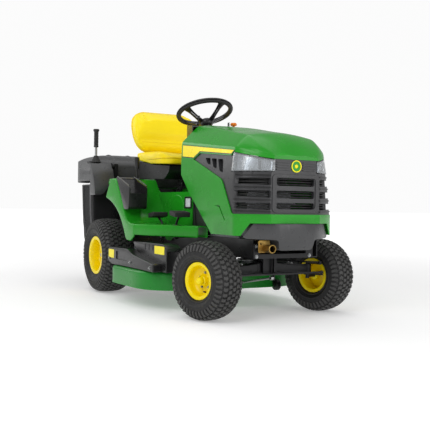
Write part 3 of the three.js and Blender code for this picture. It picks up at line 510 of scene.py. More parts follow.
# ---------------------------------------------------------------- hood
# x, half-widths low down, at the side crease and at the roof crease, then their heights and the top.
HOOD_STATIONS = [
    (788, 252, 250, 888, 150, 984, 990),
    (1000, 262, 254, 865, 163, 954, 966),
    (1200, 272, 255, 843, 178, 918, 933),
    (1358, 280, 255, 826, 188, 888, 906),
    (1395, 281, 236, 817, 185, 868, 890),
    (1450, 225, 190, 798, 165, 828, 848),
    (1500, 140, 128, 781, 112, 784, 788),
]
HOOD_LOW, STRIP_TOP = 405, 511


def steady_slopes(xs, ys):
    """Slopes that never overshoot the given values."""
    steps = [(ys[i + 1] - ys[i]) / (xs[i + 1] - xs[i]) for i in range(len(xs) - 1)]
    slopes = [steps[0]]
    for before, after in zip(steps, steps[1:]):
        slopes.append(0 if before * after <= 0 else 2 * before * after / (before + after))
    return slopes + [steps[-1]]


def hood_at(x):
    xs = [row[0] for row in HOOD_STATIONS]
    i = max(k for k in range(len(xs) - 1) if xs[k] <= x or k == 0)
    span = xs[i + 1] - xs[i]
    t = min(1.0, max(0.0, (x - xs[i]) / span))
    out = []
    for column in range(1, 7):
        ys = [row[column] for row in HOOD_STATIONS]
        slopes = steady_slopes(xs, ys)
        out.append(ys[i] * (2 * t ** 3 - 3 * t ** 2 + 1) + ys[i + 1] * (3 * t ** 2 - 2 * t ** 3)
                   + slopes[i] * span * (t ** 3 - 2 * t ** 2 + t) + slopes[i + 1] * span * (t ** 3 - t ** 2))
    return out


def hood_half(x, inset):
    """The right-hand half of a cross-section from the sill to the middle of the roof."""
    low, side, side_z, roof, roof_z, top = hood_at(x)
    corners = [(low - inset, HOOD_LOW - (60 if inset > 3 else 0), 0), (low - inset, STRIP_TOP, 16),
               (side - inset, side_z - inset / 2, 8), (roof - inset / 2, roof_z - inset, 14),
               (0, top - inset, 0)]
    path = rounded(corners + [(0, 0, 0)], 4)[:-1]
    out = []
    straights = {0: (2, 0), 5: (6, 5), 10: (5, 1.5), 15: (5, 4)}
    for i, (a, b) in enumerate(zip(path, path[1:])):
        length = math.dist(a, b)
        parts, fullness = straights.get(i, (1, 0))
        for k in range(parts):
            t = k / parts
            swell = math.sin(math.pi * t) * fullness
            normal = ((b[1] - a[1]) / length, -(b[0] - a[0]) / length)
            out.append((a[0] + (b[0] - a[0]) * t + normal[0] * swell,
                        a[1] + (b[1] - a[1]) * t + normal[1] * swell))
    return out + [path[-1]]


def hood_block(inset):
    """The hood's outer form, shrunk by an inset."""
    last = 1500 - inset
    xs = [788 - (60 if inset > 3 else 0)] + [800 + 40 * i for i in range(14)]
    xs += [1340, 1350, 1358, 1368, 1380, 1395, 1410, 1425, 1440, 1455, 1470, 1484, 1494, 1500]
    rings = []
    for i, x in enumerate(xs):
        half = hood_half(max(788, x), inset)
        place = last if i == len(xs) - 1 else min(x, last - (len(xs) - 1 - i) * 0.5)
        right = [(place, -y, z) for y, z in half]
        left = [(place, y, z) for y, z in reversed(half[:-1])]
        rings.append(right + left)
    return skin(rings)


def hood_shell(outer, inner):
    return cut(hood_block(outer), hood_block(inner))


def hood_patch(shape, outer, inner, plane="side", low=-300, high=300):
    """A piece of the hood's surface inside an outline."""
    return keep(hood_shell(outer, inner), prism(shape, plane, low, high))


HOOD_SIDE = [(780, 1010), (780, 890), (793, 712), (900, 608), (1160, 409), (1421, 409), (1448, 468),
             (1520, 468), (1520, 1010)]
FACE_OPENING = [(935, 789), (1003, 817), (1325, 789), (1352, 806), (1540, 760), (1540, STRIP_TOP),
                (1372, STRIP_TOP, 14), (1269, 659, 20), (1250, 678, 14)]


def build_hood():
    shell = keep(hood_shell(0, 5), prism(HOOD_SIDE, "side", -300, 300))
    slot = prism([(1190, 549, 3), (1246, 549, 4), (1312, 478, 4), (1302, 478, 3), (1240, 543, 3)],
                 "side", -300, 300)
    cut(shell, prism(FACE_OPENING, "side", -300, 300), box(975, 1250, -5, 5, 880, 1000), slot)
    settle(shell, "hood_skin", GREEN, "hood", 1.6, 26, 2, ["hood_shell"])
    under = hood_patch([(1180, 556, 4), (1256, 556, 6), (1324, 470, 4), (1290, 470, 3)], 5.6, 8)
    settle(under, "hood_slot_backing", DARK, "hood")
    roof = keep(hood_shell(5.6, 9), box(965, 1260, -14, 14, 880, 1000))
    settle(roof, "roof_slot_backing", DARK, "hood")
    band = [(798, 875, 3), (800, 807, 3), (940, 794, 3), (1008, 823, 3), (1328, 793, 3), (1362, 813, 2)]
    border = hood_patch(band, -0.5, 0.4)
    settle(border, "stripe_border", BLACK, "hood")
    inner = [(802, 871, 3), (804, 811, 3), (938, 798.5, 3), (1006, 827.5, 3), (1326, 797.5, 3),
             (1350, 812.5, 2)]
    stripe = hood_patch(inner, -1.1, 0.2)
    settle(stripe, "yellow_side_stripe", STRIPE, "hood")


build_hood()


# ---------------------------------------------------------------- grille
ROW_HEIGHTS = (664, 605, 548)


def louvre_line(z, y0, y1):
    """A thin raised line across the nose panel."""
    return hood_patch(oblong(y0, y1, z - 2.6, z + 2.6, 1), 1.0, 7.5, "front", 1400, 1520)


def build_grille():
    region = [(925, 785, 4), (1000, 826), (1325, 798), (1348, 800), (1540, 768), (1540, 506),
              (1364, 503, 12), (1262, 652, 18), (1244, 670, 12)]
    panel = keep(hood_shell(6, 24), prism(region, "side", -300, 300))
    cutters = []
    for z in ROW_HEIGHTS:
        cutters.append(prism([(-108, z - 19, 12), (108, z - 19, 12), (108, z + 18, 8), (-108, z + 18, 8)],
                             "front", 1420, 1560))
        for side in (-1, 1):
            wide = [(side * 140, z - 17, 8), (side * 300, z - 10, 4), (side * 300, z + 17, 4),
                    (side * 140, z + 17, 8)]
            cutters.append(prism(wide, "front", 1376, 1560))
    for side in (-1, 1):
        cutters.append(box(1338, 1560, *sorted((side * 121, side * 300)), 709, 900))
    for i in range(3):
        x = 1062 + 66 * i
        top, base = 790 - 6 * i, 757 - 21 * i
        vent = [(x, top, 6), (x + 52, top - 3, 8), (x + 60, base - 6, 8), (x + 24, base + 4, 8)]
        cutters.append(prism(vent, "side", -300, 300))
    cut(panel, *cutters)
    settle(panel, "grille_frame", GREY, "hood", 3.2, 28, 3, ["grille"])
    liner = keep(hood_shell(25, 28), prism([(940, 782), (1325, 786), (1540, 700), (1540, 512), (1372, 512),
                                            (1262, 662)], "side", -300, 300))
    screen = []
    for z in range(524, 690, 12):
        screen.append(box(1300, 1560, -300, 300, z, z + 6))
    cut(liner, *screen)
    settle(liner, "grille_screen", DARK, "hood")
    ring = hood_patch([(-134, 518, 26), (134, 518, 26), (134, 700, 24), (-134, 700, 24)], 1.5, 8,
                      "front", 1410, 1560)
    cut(ring, prism([(-114, 536, 20), (114, 536, 20), (114, 684, 16), (-114, 684, 16)], "front", 1400, 1560))
    settle(ring, "grille_centre_frame", GREY, "hood", 2.0, 28, 3)
    lines = []
    for k in range(4):
        z = 721 + 12 * k
        lines += [louvre_line(z, -112, -38), louvre_line(z, 38, 112)]
    settle(lines, "nose_louvre_lines", GREY, "hood", 0.8, 28, 2)
    fins = []
    for side in (-1, 1):
        for z in (692, 635, 577, 523):
            blade = [(side * 142, z - 3, 2), (side * 290, z + 1, 2), (side * 290, z + 7, 2),
                     (side * 142, z + 4, 2)]
            fins.append(hood_patch(blade, 1.0, 8.0, "front", 1376, 1560))
    settle(fins, "grille_side_blades", BLACK, "hood", 1.0, 28, 2)


def build_badge():
    """A plain round badge: a green disc inside a yellow ring, on the nose panel."""
    centre, axis = (1487, 0, 739), (1, 0, 0)
    plate = disc(centre, axis, 29, 4, 10, 2.0, 40)
    settle(plate, "badge_disc", GREEN, "hood")
    ring = lathe([(24, 10), (24, 12.2), (28.5, 12.2), (28.5, 10)], centre, axis, 40)
    settle(ring, "badge_ring", STRIPE, "hood")
    dome = lathe([(0.01, 10), (9, 10), (7, 12), (0.01, 12.8)], centre, axis, 24)
    settle(dome, "badge_dome", STRIPE, "hood")


LAMP = [(1345, 712, 4), (1530, 712, 4), (1530, 758, 4), (1354, 803, 6), (1345, 795, 4)]


def build_headlight(side, name):
    def lamp_part(outer, inner, shape, y_inner=-123):
        part = keep(hood_shell(outer, inner), prism(shape, "side", -300, y_inner))
        return flipped(part) if side > 0 else part

    lens = lamp_part(1, 3.4, LAMP)
    settle(lens, f"headlight_lens_{name}", LENS, "hood", 0.6, 28, 2, [f"headlight_{name}"])
    inner_shape = [(1349, 716, 4), (1526, 716, 4), (1526, 754, 4), (1357, 797, 6), (1349, 791, 4)]
    rim = cut(lamp_part(2.5, 20, LAMP), prism(inner_shape, "side", -300, 300))
    settle(rim, f"headlight_rim_{name}", BLACK, "hood")
    back = lamp_part(17, 22, LAMP, -125)
    settle(back, f"headlight_reflector_{name}", CHROME, "hood")
    bowls = []
    for x, y, radius in ((1425, 196, 25), (1466, 150, 21)):
        turn = Vector((0.78, side * 0.62, 0.05)).normalized()
        profile = [(3, -14), (radius * 0.55, -9), (radius * 0.85, 0), (radius, 8), (radius - 1.2, 8),
                   (radius * 0.85 - 1.5, 1), (radius * 0.5, -7), (3, -12)]
        bowls.append(lathe(profile, (x - 10, side * (y + 2), 748), turn, 32))
        bowls.append(disc((x - 14, side * y, 748), turn, 6, 0, 12, 2, 16))
    settle(bowls, f"headlight_bowls_{name}", CHROME, "hood")
    divider = prism([(1446, 712), (1456, 706), (1472, 716), (1470, 790), (1448, 792)], "side", 176, 184)
    if side < 0:
        flipped(divider)
    trimmed = keep(divider, hood_block(4))
    settle(trimmed, f"headlight_divider_{name}", DARK, "hood")


build_grille()
build_badge()
for lamp_side, lamp_name in SIDES:
    build_headlight(lamp_side, lamp_name)


# ---------------------------------------------------------------- wheels
FRONT = {"radius": 190.5, "half": 75, "bead": 49.5, "barrel": 76, "flange": 90, "bore": 10,
         "rows": (0, 24, 48),
         "row_width": 20, "lug": (62, 96), "pitches": 44}
REAR = {"radius": 228.6, "half": 96, "bead": 76, "barrel": 101, "flange": 117.5, "bore": 13.2,
        "rows": (0, 25, 50, 75), "row_width": 21, "lug": (88, 126), "pitches": 50}
TREAD = 7.5


def tyre_section(size):
    """The carcass outside, from the middle of the tread down to the bead, as (radius, y)."""
    crown, half, flange = size["radius"] - TREAD, size["half"], size["flange"]
    return [(crown, 0), (crown - 0.6, 0.3 * half), (crown - 3, 0.55 * half), (crown - 8, 0.73 * half),
            (crown - 17, 0.86 * half), (crown - 31, 0.945 * half), (crown - 47, 0.975 * half),
            (crown - 60, 0.985 * half), (crown - 61, half), (crown - 65, half), (crown - 66, 0.985 * half),
            (flange + 24, 0.95 * half), (flange + 14, 0.87 * half), (flange + 12, 0.885 * half),
            (flange + 9, 0.885 * half), (flange + 7, 0.83 * half + 2),
            (flange + 2, size["bead"] + 3), (flange + 1.4, size["bead"]), (size["barrel"] + 1, size["bead"])]


def along_section(section, distance, lift):
    """The point a distance down the carcass from its middle, lifted off the surface."""
    left = abs(distance)
    for (r0, y0), (r1, y1) in zip(section, section[1:]):
        length = math.dist((r0, y0), (r1, y1))
        if left <= length or (r1, y1) == section[-1]:
            t = left / length
            normal = (y1 - y0, r0 - r1)
            r = r0 + (r1 - r0) * t + normal[0] / length * lift
            y = y0 + (y1 - y0) * t + normal[1] / length * lift
            return r, math.copysign(y, distance) if distance else y
        left -= length
    return section[-1]


CHEVRON = [(-0.42, -0.5), (0.24, -0.5), (0.40, 0.0), (0.24, 0.5), (-0.42, 0.5), (-0.26, 0.0)]
LUG = [(-0.36, 0.0), (0.30, 0.0), (0.40, 0.5), (0.26, 1.0), (-0.30, 1.0), (-0.22, 0.5)]


def tread_points(size):
    """Outlines of every block as (turn, distance) pairs."""
    pitch = math.tau / size["pitches"]
    blocks = []
    for k in range(size["pitches"]):
        for j, row in enumerate(size["rows"]):
            for side in ((1,) if row == 0 else (1, -1)):
                flip = 1 if j % 2 == 0 else -1
                start = k * pitch + (0.5 * pitch if j % 2 else 0)
                blocks.append([(start + flip * u * pitch, side * row + v * size["row_width"])
                               for u, v in CHEVRON])
        low, high = size["lug"]
        for side in (1, -1):
            start = k * pitch + (0.5 * pitch if len(size["rows"]) % 2 else 0)
            blocks.append([(start + u * pitch, side * (low + v * (high - low))) for u, v in LUG])
    return blocks


class WheelPlace:
    def __init__(self, centre, outward):
        self.centre = Vector(centre)
        self.axis = Vector(outward).normalized()
        self.up = Vector(UP)
        self.forward = self.axis.cross(self.up)

    def point(self, radius, y, angle):
        radial = self.forward * math.cos(angle) + self.up * math.sin(angle)
        return tuple(self.centre + radial * radius + self.axis * y)


def build_tyre(name, size, place, body):
    section = tyre_section(size)
    ring = section + [(r, -y) for r, y in reversed(section)][:-1]
    sides = 96
    rings = [[place.point(r, y, math.tau * i / sides) for r, y in ring] for i in range(sides)]
    carcass = skin(rings, wrap=True)
    points, faces = [], []
    for block in tread_points(size):
        base = len(points)
        middle = (sum(u for u, _ in block) / 6, sum(v for _, v in block) / 6)
        for lift, grow in ((-2.5, 1.04), (TREAD - 0.2, 0.86)):
            for u, v in block:
                turn = middle[0] + (u - middle[0]) * grow
                down = middle[1] + (v - middle[1]) * grow
                drop = lift if lift < 0 or abs(down) < size["lug"][0] else lift * 0.72
                r, y = along_section(section, down, drop)
                points.append(place.point(r, y, turn))
        faces += [[base + i, base + (i + 1) % 6, base + 6 + (i + 1) % 6, base + 6 + i] for i in range(6)]
        faces += [[base + i for i in range(6)], [base + 11 - i for i in range(6)]]
    tread = from_data(points, faces)
    settle([carcass, tread], f"{name}_tyre_skin", TYRE, body, degrees=30,
           stands_for=[f"{name}_tyre"])


def build_rim(name, size, place, body):
    bead = size["bead"] + 0.6
    inner, flange, bore = size["barrel"] - 5, size["flange"], size["bore"]
    hub = bore + 13
    profile = [
        (bore, 30), (hub - 3, 32), (hub, 29), (hub, 14), (hub + 5, 8), (hub + 14, 5.5), (inner * 0.62, 6),
        (inner * 0.82, 11), (inner - 5, 17), (inner - 1, 24), (inner, 30), (inner, bead - 2),
        (inner + 4, bead + 3.4), (flange - 5, bead + 6), (flange - 1.5, bead + 6), (flange, bead + 4.5),
        (flange, bead + 0.6), (size["barrel"] + 4, bead), (size["barrel"], bead - 4),
        (size["barrel"], -bead + 4), (size["barrel"] + 4, -bead), (flange, -bead - 0.6),
        (flange, -bead - 4.5), (flange - 1.5, -bead - 6), (flange - 5, -bead - 6), (inner + 3, -bead - 4),
        (inner, -bead), (inner, 15), (inner - 4, 9), (inner * 0.8, 4), (inner * 0.6, 1), (hub + 8, 0),
        (hub, -5), (hub, -38), (bore, -38),
    ]
    sides = 72
    rings = [[place.point(r, y, math.tau * i / sides) for r, y in profile] for i in range(sides)]
    settle(skin(rings, wrap=True), f"{name}_rim_skin", YELLOW, body, degrees=40,
           stands_for=[f"{name}_rim"])
    bolts = [bolt(place.point(hub + 15, 6, math.tau * k / 5 + 0.3), place.axis, 5.5) for k in range(5)]
    settle(bolts, f"{name}_wheel_bolts", ZINC, body)
    front = size is FRONT
    low, high, half = (33, 57, 19) if front else (28, 40, bore + 5)
    cap = lathe([(0.01, low), (half - 1, low), (half, low + 3), (half - 0.5, high - 8), (half - 4, high - 3),
                 (half * 0.45, high - 0.6), (0.01, high)], place.centre, place.axis, 32)
    settle(cap, f"{name}_hub_cap", YELLOW if front else BLACK_STEEL, body, degrees=50)
    foot = place.point(inner - 6, 16, 4.2)
    tip = place.point(inner - 16, 42, 4.2)
    settle(tube([foot, tip], 4, 12, False), f"{name}_valve", BLACK, body)


def steered(x, y):
    """A point drawn about a kingpin with the wheels straight, turned to the resting steer."""
    return x * math.cos(STEER) - y * math.sin(STEER), x * math.sin(STEER) + y * math.cos(STEER)


for wheel_side, wheel_name in SIDES:
    dx, dy = steered(0, wheel_side * FRONT_WHEEL_OFFSET)
    ox, oy = steered(0, wheel_side)
    front_middle = (FRONT_AXLE_X + dx, wheel_side * KINGPIN_Y + dy, FRONT["radius"])
    front_place = WheelPlace(front_middle, (ox, oy, 0))
    build_tyre(f"front_{wheel_name}", FRONT, front_place, f"wheel_front_{wheel_name}")
    build_rim(f"front_{wheel_name}", FRONT, front_place, f"wheel_front_{wheel_name}")
    rear_place = WheelPlace((0, wheel_side * REAR_WHEEL_Y, REAR["radius"]), (0, wheel_side, 0))
    build_tyre(f"rear_{wheel_name}", REAR, rear_place, f"wheel_rear_{wheel_name}")
    build_rim(f"rear_{wheel_name}", REAR, rear_place, f"wheel_rear_{wheel_name}")


# ---------------------------------------------------------------- green body between the wheels
def fender_solid():
    """One fender with its skirt and inner wall, hollow from below, on the left-hand side."""
    outer = prism([(166, 590, 14), (243, 700, 24), (330, 700, 30), (418, 577, 60), (468, 490, 50),
                   (522, 446, 40), (606, 441), (606, 372), (560, 344, 16), (492, 347, 20), (440, 432, 50),
                   (367, 508, 60), (270, 560, 50)], "side", 195, 450, 6)
    bake(soften(outer, 15, 5, 50))
    inner = prism([(120, 500), (246, 693, 20), (327, 693, 28), (412, 572, 60), (462, 485, 50), (519, 440, 40),
                   (640, 435), (640, 200), (120, 200)], "side", 200, 445, 6)
    bake(soften(inner, 10, 4, 50))
    return cut(outer, inner)


def footrest_solid():
    outer = prism([(500, 195), (598, 450, 10), (760, 402, 60), (1000, 262, 10), (1000, 195)],
                  "plan", 380, FOOTREST_TOP, 8)
    bake(soften(outer, 9, 4, 50))
    inner = prism([(480, 201), (480, 445), (600, 445), (757, 397, 60), (1010, 250), (1010, 201)],
                  "plan", 300, 435.5, 8)
    return cut(outer, inner)


def half_body():
    half = fender_solid()
    join(half, footrest_solid())
    rear_top = prism([(-140, 195), (300, 195), (300, 449), (190, 449, 50), (130, 325, 50), (-140, 325, 30)],
                     "plan", 672, FENDER_TOP, 6)
    bake(soften(rear_top, 8, 4, 50))
    rear_hollow = prism([(-160, 200), (310, 200), (310, 444), (193, 444, 50), (133, 320, 50),
                         (-135, 320, 30)], "plan", 600, 695, 6)
    cut(rear_top, rear_hollow)
    trim = prism([(300, 695), (400, 620), (400, 500), (290, 500)], "side", 150, 460)
    cut(rear_top, trim)
    join(half, rear_top)
    wall = prism([(-140, 540), (-140, 699, 8), (328, 699, 20), (387, 622, 40), (820, 622, 8), (820, 436),
                  (515, 436), (462, 482), (425, 540)], "side", 195, 200, 6)
    return join(half, wall)


def build_body():
    left = half_body()
    platform = box(-140, 700, -199, 199, 617, 622)
    whole = join(left, mirror_copy(left), platform)
    slots = [box(236, 326, -295, -275, 640, 720), box(818, 862, -309, -291, 420, 470),
             box(626, 669, -309, -291, 420, 470), box(818, 862, 291, 309, 420, 470)]
    cut(whole, *slots)
    settle(whole, "fender_and_footrest", GREEN, "chassis", degrees=30, stands_for=["fender_body"])
    ribs = []
    for side in (-1, 1):
        for k in range(5):
            x = 640 + 26 * k + (0 if k < 1 else 8)
            low, high = sorted((side * 330, side * (396 - 11 * k)))
            ribs.append(prism(oblong(x, x + 9, low, high, 4), "plan", 439, 444))
    settle(ribs, "footrest_ribs", GREEN, "chassis", 1.4)
    hinge_lugs = []
    for side in (-1, 1):
        lug = [(HINGE_X - 20, 620), (HINGE_X - 15, 655, 14), (HINGE_X + 15, 655, 14), (HINGE_X + 20, 620)]
        hinge_lugs.append(side_plate(lug, side, 102, 112))
        ends = [(HINGE_X, side * 88, HINGE_Z), (HINGE_X, side * 106, HINGE_Z)]
        hinge_lugs.append(tube(ends, 6, 16, False))
        hinge_lugs.append(bolt((HINGE_X, side * 112, HINGE_Z), (0, side, 0), 7))
    settle(hinge_lugs, "seat_hinge_lugs", BLACK_STEEL, "chassis", 1.0)
    pin = tube([(270, -297, 560), (270, -198, 560)], 7, 16, False)
    settle(pin, "lift_lever_pin", ZINC, "chassis")
    for name, (x0, x1, y0, y1, z) in {
        "lever_slot_bezel": (230, 332, -301, -269, FENDER_TOP),
        "forward_pedal_bezel": (812, 868, -315, -285, FOOTREST_TOP),
        "reverse_pedal_bezel": (620, 675, -315, -285, FOOTREST_TOP),
        "brake_pedal_bezel": (812, 868, 285, 315, FOOTREST_TOP),
    }.items():
        plate = prism(oblong(x0, x1, y0, y1, 6), "plan", z - 1.3, z + 2.6)
        opening = oblong(x0 + 6.5, x1 - 6.5, y0 + 6.5, y1 - 6.5, 3)
        cut(plate, prism(opening, "plan", z - 10, z + 10))
        settle(plate, name, BLACK, "chassis", 0.8)


def build_tunnel_details():
    """The oval boss and the small framed window on each tunnel wall."""
    oval = [(640 + 84 * math.cos(a), 536 + 70 * math.sin(a)) for a in (math.tau * k / 36 for k in range(36))]
    glass = oblong(744, 807, 539, 587, 4)
    for side, name in SIDES:
        boss = side_plate(oval, side, 198, 205)
        settle(boss, f"tunnel_boss_{name}", GREEN, "chassis", 3.4, segments=4)
        window = side_plate(oblong(736, 815, 531, 595, 6), side, 199, 206)
        cut(window, prism(glass, "side", -260, 260))
        settle(window, f"window_frame_{name}", BLACK, "chassis", 1.2)
        pane = side_plate(glass, side, 199.5, 202.5)
        settle(pane, f"window_pane_{name}", PALE, "chassis", 0.6)


def build_storage():
    tray = prism([(334, 708, 8), (532, 645, 12), (524, 522, 16), (458, 520, 14), (424, 577, 10)],
                 "side", -449, -337)
    bake(soften(tray, 5, 3, 50))
    well = prism([(352, 735), (548, 672), (508, 538, 14), (470, 538, 12), (438, 590, 10), (364, 694, 4)],
                 "side", -440, -346)
    settle(cut(tray, well), "storage_tray", BLACK, "chassis", degrees=30,
           stands_for=["storage_console"])
    lips = [tube([(345, y0, 709), (420, y1, 688), (527, y1, 653)], 3.2, 12)
            for y0, y1 in ((-444, -446), (-342, -340))]
    settle(lips, "storage_tray_lip", BLACK, "chassis")
    cup = lathe([(30, 0), (34, 0), (36, 34), (33, 34), (31, 4), (26, 3), (26, -2), (30, -2)],
                (488, -393, 541), UP, 32)
    settle(cup, "storage_cup_ring", GREY, "chassis")


build_body()
build_tunnel_details()
build_storage()


# ---------------------------------------------------------------- seat
def inflate(obj, voxel, pressure, cap, pinned, frames=20):
    """Remeshes a pad and swells it as cloth, held where pinned(x, y, z) says, in millimetres."""
    remesh = obj.modifiers.new("remesh", "REMESH")
    remesh.mode = "VOXEL"
    remesh.voxel_size = voxel / 1000
    bake(obj)
    group = obj.vertex_groups.new(name="held")
    rest = [vertex.co.copy() for vertex in obj.data.vertices]
    held = [i for i, co in enumerate(rest) if pinned(co.x * 1000 + MID, co.y * 1000, co.z * 1000)]
    group.add(held, 1.0, "REPLACE")
    cloth = obj.modifiers.new("cloth", "CLOTH")
    cloth.settings.quality = 5
    cloth.settings.mass = 0.3
    cloth.settings.bending_stiffness = 0.6
    cloth.settings.use_pressure = True
    cloth.settings.uniform_pressure_force = pressure
    cloth.settings.effector_weights.gravity = 0
    cloth.settings.vertex_group_mass = "held"
    scene = bpy.context.scene
    for step in range(1, frames + 1):
        scene.frame_set(step)
    swollen = bake(obj)
    for vertex, start in zip(swollen.data.vertices, rest):
        move = vertex.co - start
        if move.length > cap / 1000:
            vertex.co = start + move.normalized() * cap / 1000
    scene.frame_set(1)
    obj.vertex_groups.clear()
    relax = obj.modifiers.new("relax", "SMOOTH")
    relax.factor = 0.5
    relax.iterations = 4
    bake(obj)
    return obj


def on_surface(obj, points, lift):
    """Moves points in millimetres onto a piece, a little way off its surface."""
    out = []
    for point in points:
        found, place, normal, _ = obj.closest_point_on_mesh(at(*point))
        if found:
            place = place + normal * lift / 1000
            out.append((place.x * 1000 + MID, place.y * 1000, place.z * 1000))
    return out


def seam(obj, points, name, radius=1.3, lift=0.2, closed=False):
    settle(tube(on_surface(obj, points, lift), radius, 8, True, closed), name, PIPING, "seat")


def upholster(pad, name, material, body, stands_for):
    """Settles a swollen pad with one more level of smoothing, and keeps that as its mesh."""
    settle(subdivide(pad, 1), name, material, body, degrees=70, stands_for=[stands_for])
    bake(pad)
    smooth(pad, 70)


def build_cushion():
    side = prism([(60, 836, 18), (66, 860, 20), (150, 852, 40), (410, 862, 60), (500, 836, 40),
                  (502, 786, 24), (290, 796)], "side", -230, 230, 6)
    plan = prism([(58, -214, 40), (460, -222, 80), (508, -156, 70), (508, 156, 70), (460, 222, 80),
                  (58, 214, 40)],
                 "plan", 700, 950, 8)
    pad = keep(side, plan)
    for turn in (-1, 1):
        bolster = side_plate([(66, 842, 12), (72, 874, 22), (200, 868, 60), (380, 858, 60), (440, 840, 30)],
                             turn, 140, 210, 6)
        bake(soften(bolster, 14, 4))
        join(pad, bolster)

    def held(x, y, z):
        rim = z < 822 or x > 488
        channel = z > 838 and abs(abs(y) - 132) < 4 and 90 < x < 440
        cross = z > 838 and abs(x - 440) < 4 and abs(y) < 134
        return rim or channel or cross

    inflate(pad, 5.5, 4.0, 15, held)
    upholster(pad, "seat_cushion_pad", VINYL, "seat", "seat_cushion")
    for turn, name in SIDES:
        seam(pad, [(100 + 20 * k, turn * 132, 885) for k in range(18)], f"cushion_seam_{name}")
    seam(pad, [(441, -132 + 16 * k, 885) for k in range(17)], "cushion_seam_front")
    outline = rounded([(58, -210, 40), (458, -216, 80), (504, -150, 70), (504, 150, 70), (458, 216, 80),
                       (58, 210, 40)], 8)
    seam(pad, [(x, y, 822) for x, y in outline], "cushion_piping", 3.2, 0.6, True)


def build_backrest():
    side = prism([(66, 878, 20), (110, 884, 24), (94, 1000, 60), (44, 1138, 40), (0, 1150, 18),
                  (-36, 1140, 22), (-30, 1100), (14, 1000, 60)], "side", -230, 230, 6)
    face = prism([(-172, 874, 70), (172, 874, 70), (226, 950, 80), (220, 1108, 90), (124, 1154, 60),
                  (-124, 1154, 60), (-220, 1108, 90), (-226, 950, 80)], "front", -100, 200, 8)
    pad = keep(side, face)

    def middle_x(z):
        return 84 - (z - 900) * 0.34

    def held(x, y, z):
        behind = x < middle_x(z) - 20
        crease = x > middle_x(z) and abs(z - 958) < 4 and abs(y) < 190
        return behind or crease

    inflate(pad, 5.5, 4.0, 13, held)
    upholster(pad, "seat_backrest_pad", VINYL, "seat", "seat_backrest")
    seam(pad, [(140, -190 + 16.52 * k, 958) for k in range(24)], "backrest_seam")
    outline = rounded([(-174, 870, 70), (174, 870, 70), (230, 950, 80), (224, 1110, 90), (126, 1158, 60),
                       (-126, 1158, 60), (-224, 1110, 90), (-230, 950, 80)], 8)
    seam(pad, [(middle_x(z) - 16, y, z) for y, z in outline], "backrest_piping", 3.2, 0.6, True)


def seat_spring(x, y, name):
    radius, bottom, height, wire, step, steps = 17, 671, 38, 2.4, 0.6283, 50
    path = [(x + radius * math.cos(k * step), y + radius * math.sin(k * step), bottom + height * k / steps)
            for k in range(steps + 1)]
    settle(tube(path, wire, 8), name, ZINC, "seat")


def build_seat_details():
    for k, (x, y) in enumerate(((110, -62), (110, 62), (380, -62), (380, 62))):
        seat_spring(x, y, f"seat_spring_{k + 1}")
    handle = tube([(430, -60, 690), (478, -60, 690), (512, -60, 702)], 5, 12)
    grip = tube([(500, -60, 697), (536, -60, 712)], 8, 12, False)
    settle([handle, grip], "seat_slide_handle", ZINC, "seat")
    rails = [side_plate([(70, 652.5), (470, 652.5), (466, 660.5), (74, 660.5)], side, 74, 104)
             for side in (-1, 1)]
    settle(rails, "seat_rails", BLACK_STEEL, "seat_base", 1.2)
    bolts = [bolt((x, y, 722), UP, 6) for x in (120, 380) for y in (-89, 89)]
    settle(bolts, "seat_pan_bolts", ZINC, "seat")
    back_ribs = []
    for k in range(5):
        y = -80 + 40 * k
        back_ribs.append(prism([(44, 868), (-14, 1000), (-50, 1090), (-55, 1090), (-20, 1000), (36, 868)],
                               "side", y - 3, y + 3))
    settle(back_ribs, "backrest_shell_ribs", BLACK, "seat", 1.0)


build_cushion()
build_backrest()
build_seat_details()


# ---------------------------------------------------------------- grass catcher
CATCHER_FRONT, CATCHER_REAR = -262, -810


def plan_ring(z, front, half, rear, rear_half, per_side=9):
    """A rounded catcher outline at one height: straight at the front, cut corners at the back."""
    corners = [(front, -half, 8), (-500, -half, 60), (rear, -rear_half, 70), (rear, rear_half, 70),
               (-500, half, 60), (front, half, 8)]
    ring = rounded(corners, per_side)
    dense = []
    for i, (x, y) in enumerate(ring):
        nx, ny = ring[(i + 1) % len(ring)]
        length = math.dist((x, y), (nx, ny))
        parts = 8 if length > 200 else (4 if length > 100 else (2 if length > 60 else 1))
        for k in range(parts):
            dense.append((x + (nx - x) * k / parts, y + (ny - y) * k / parts, z))
    return dense


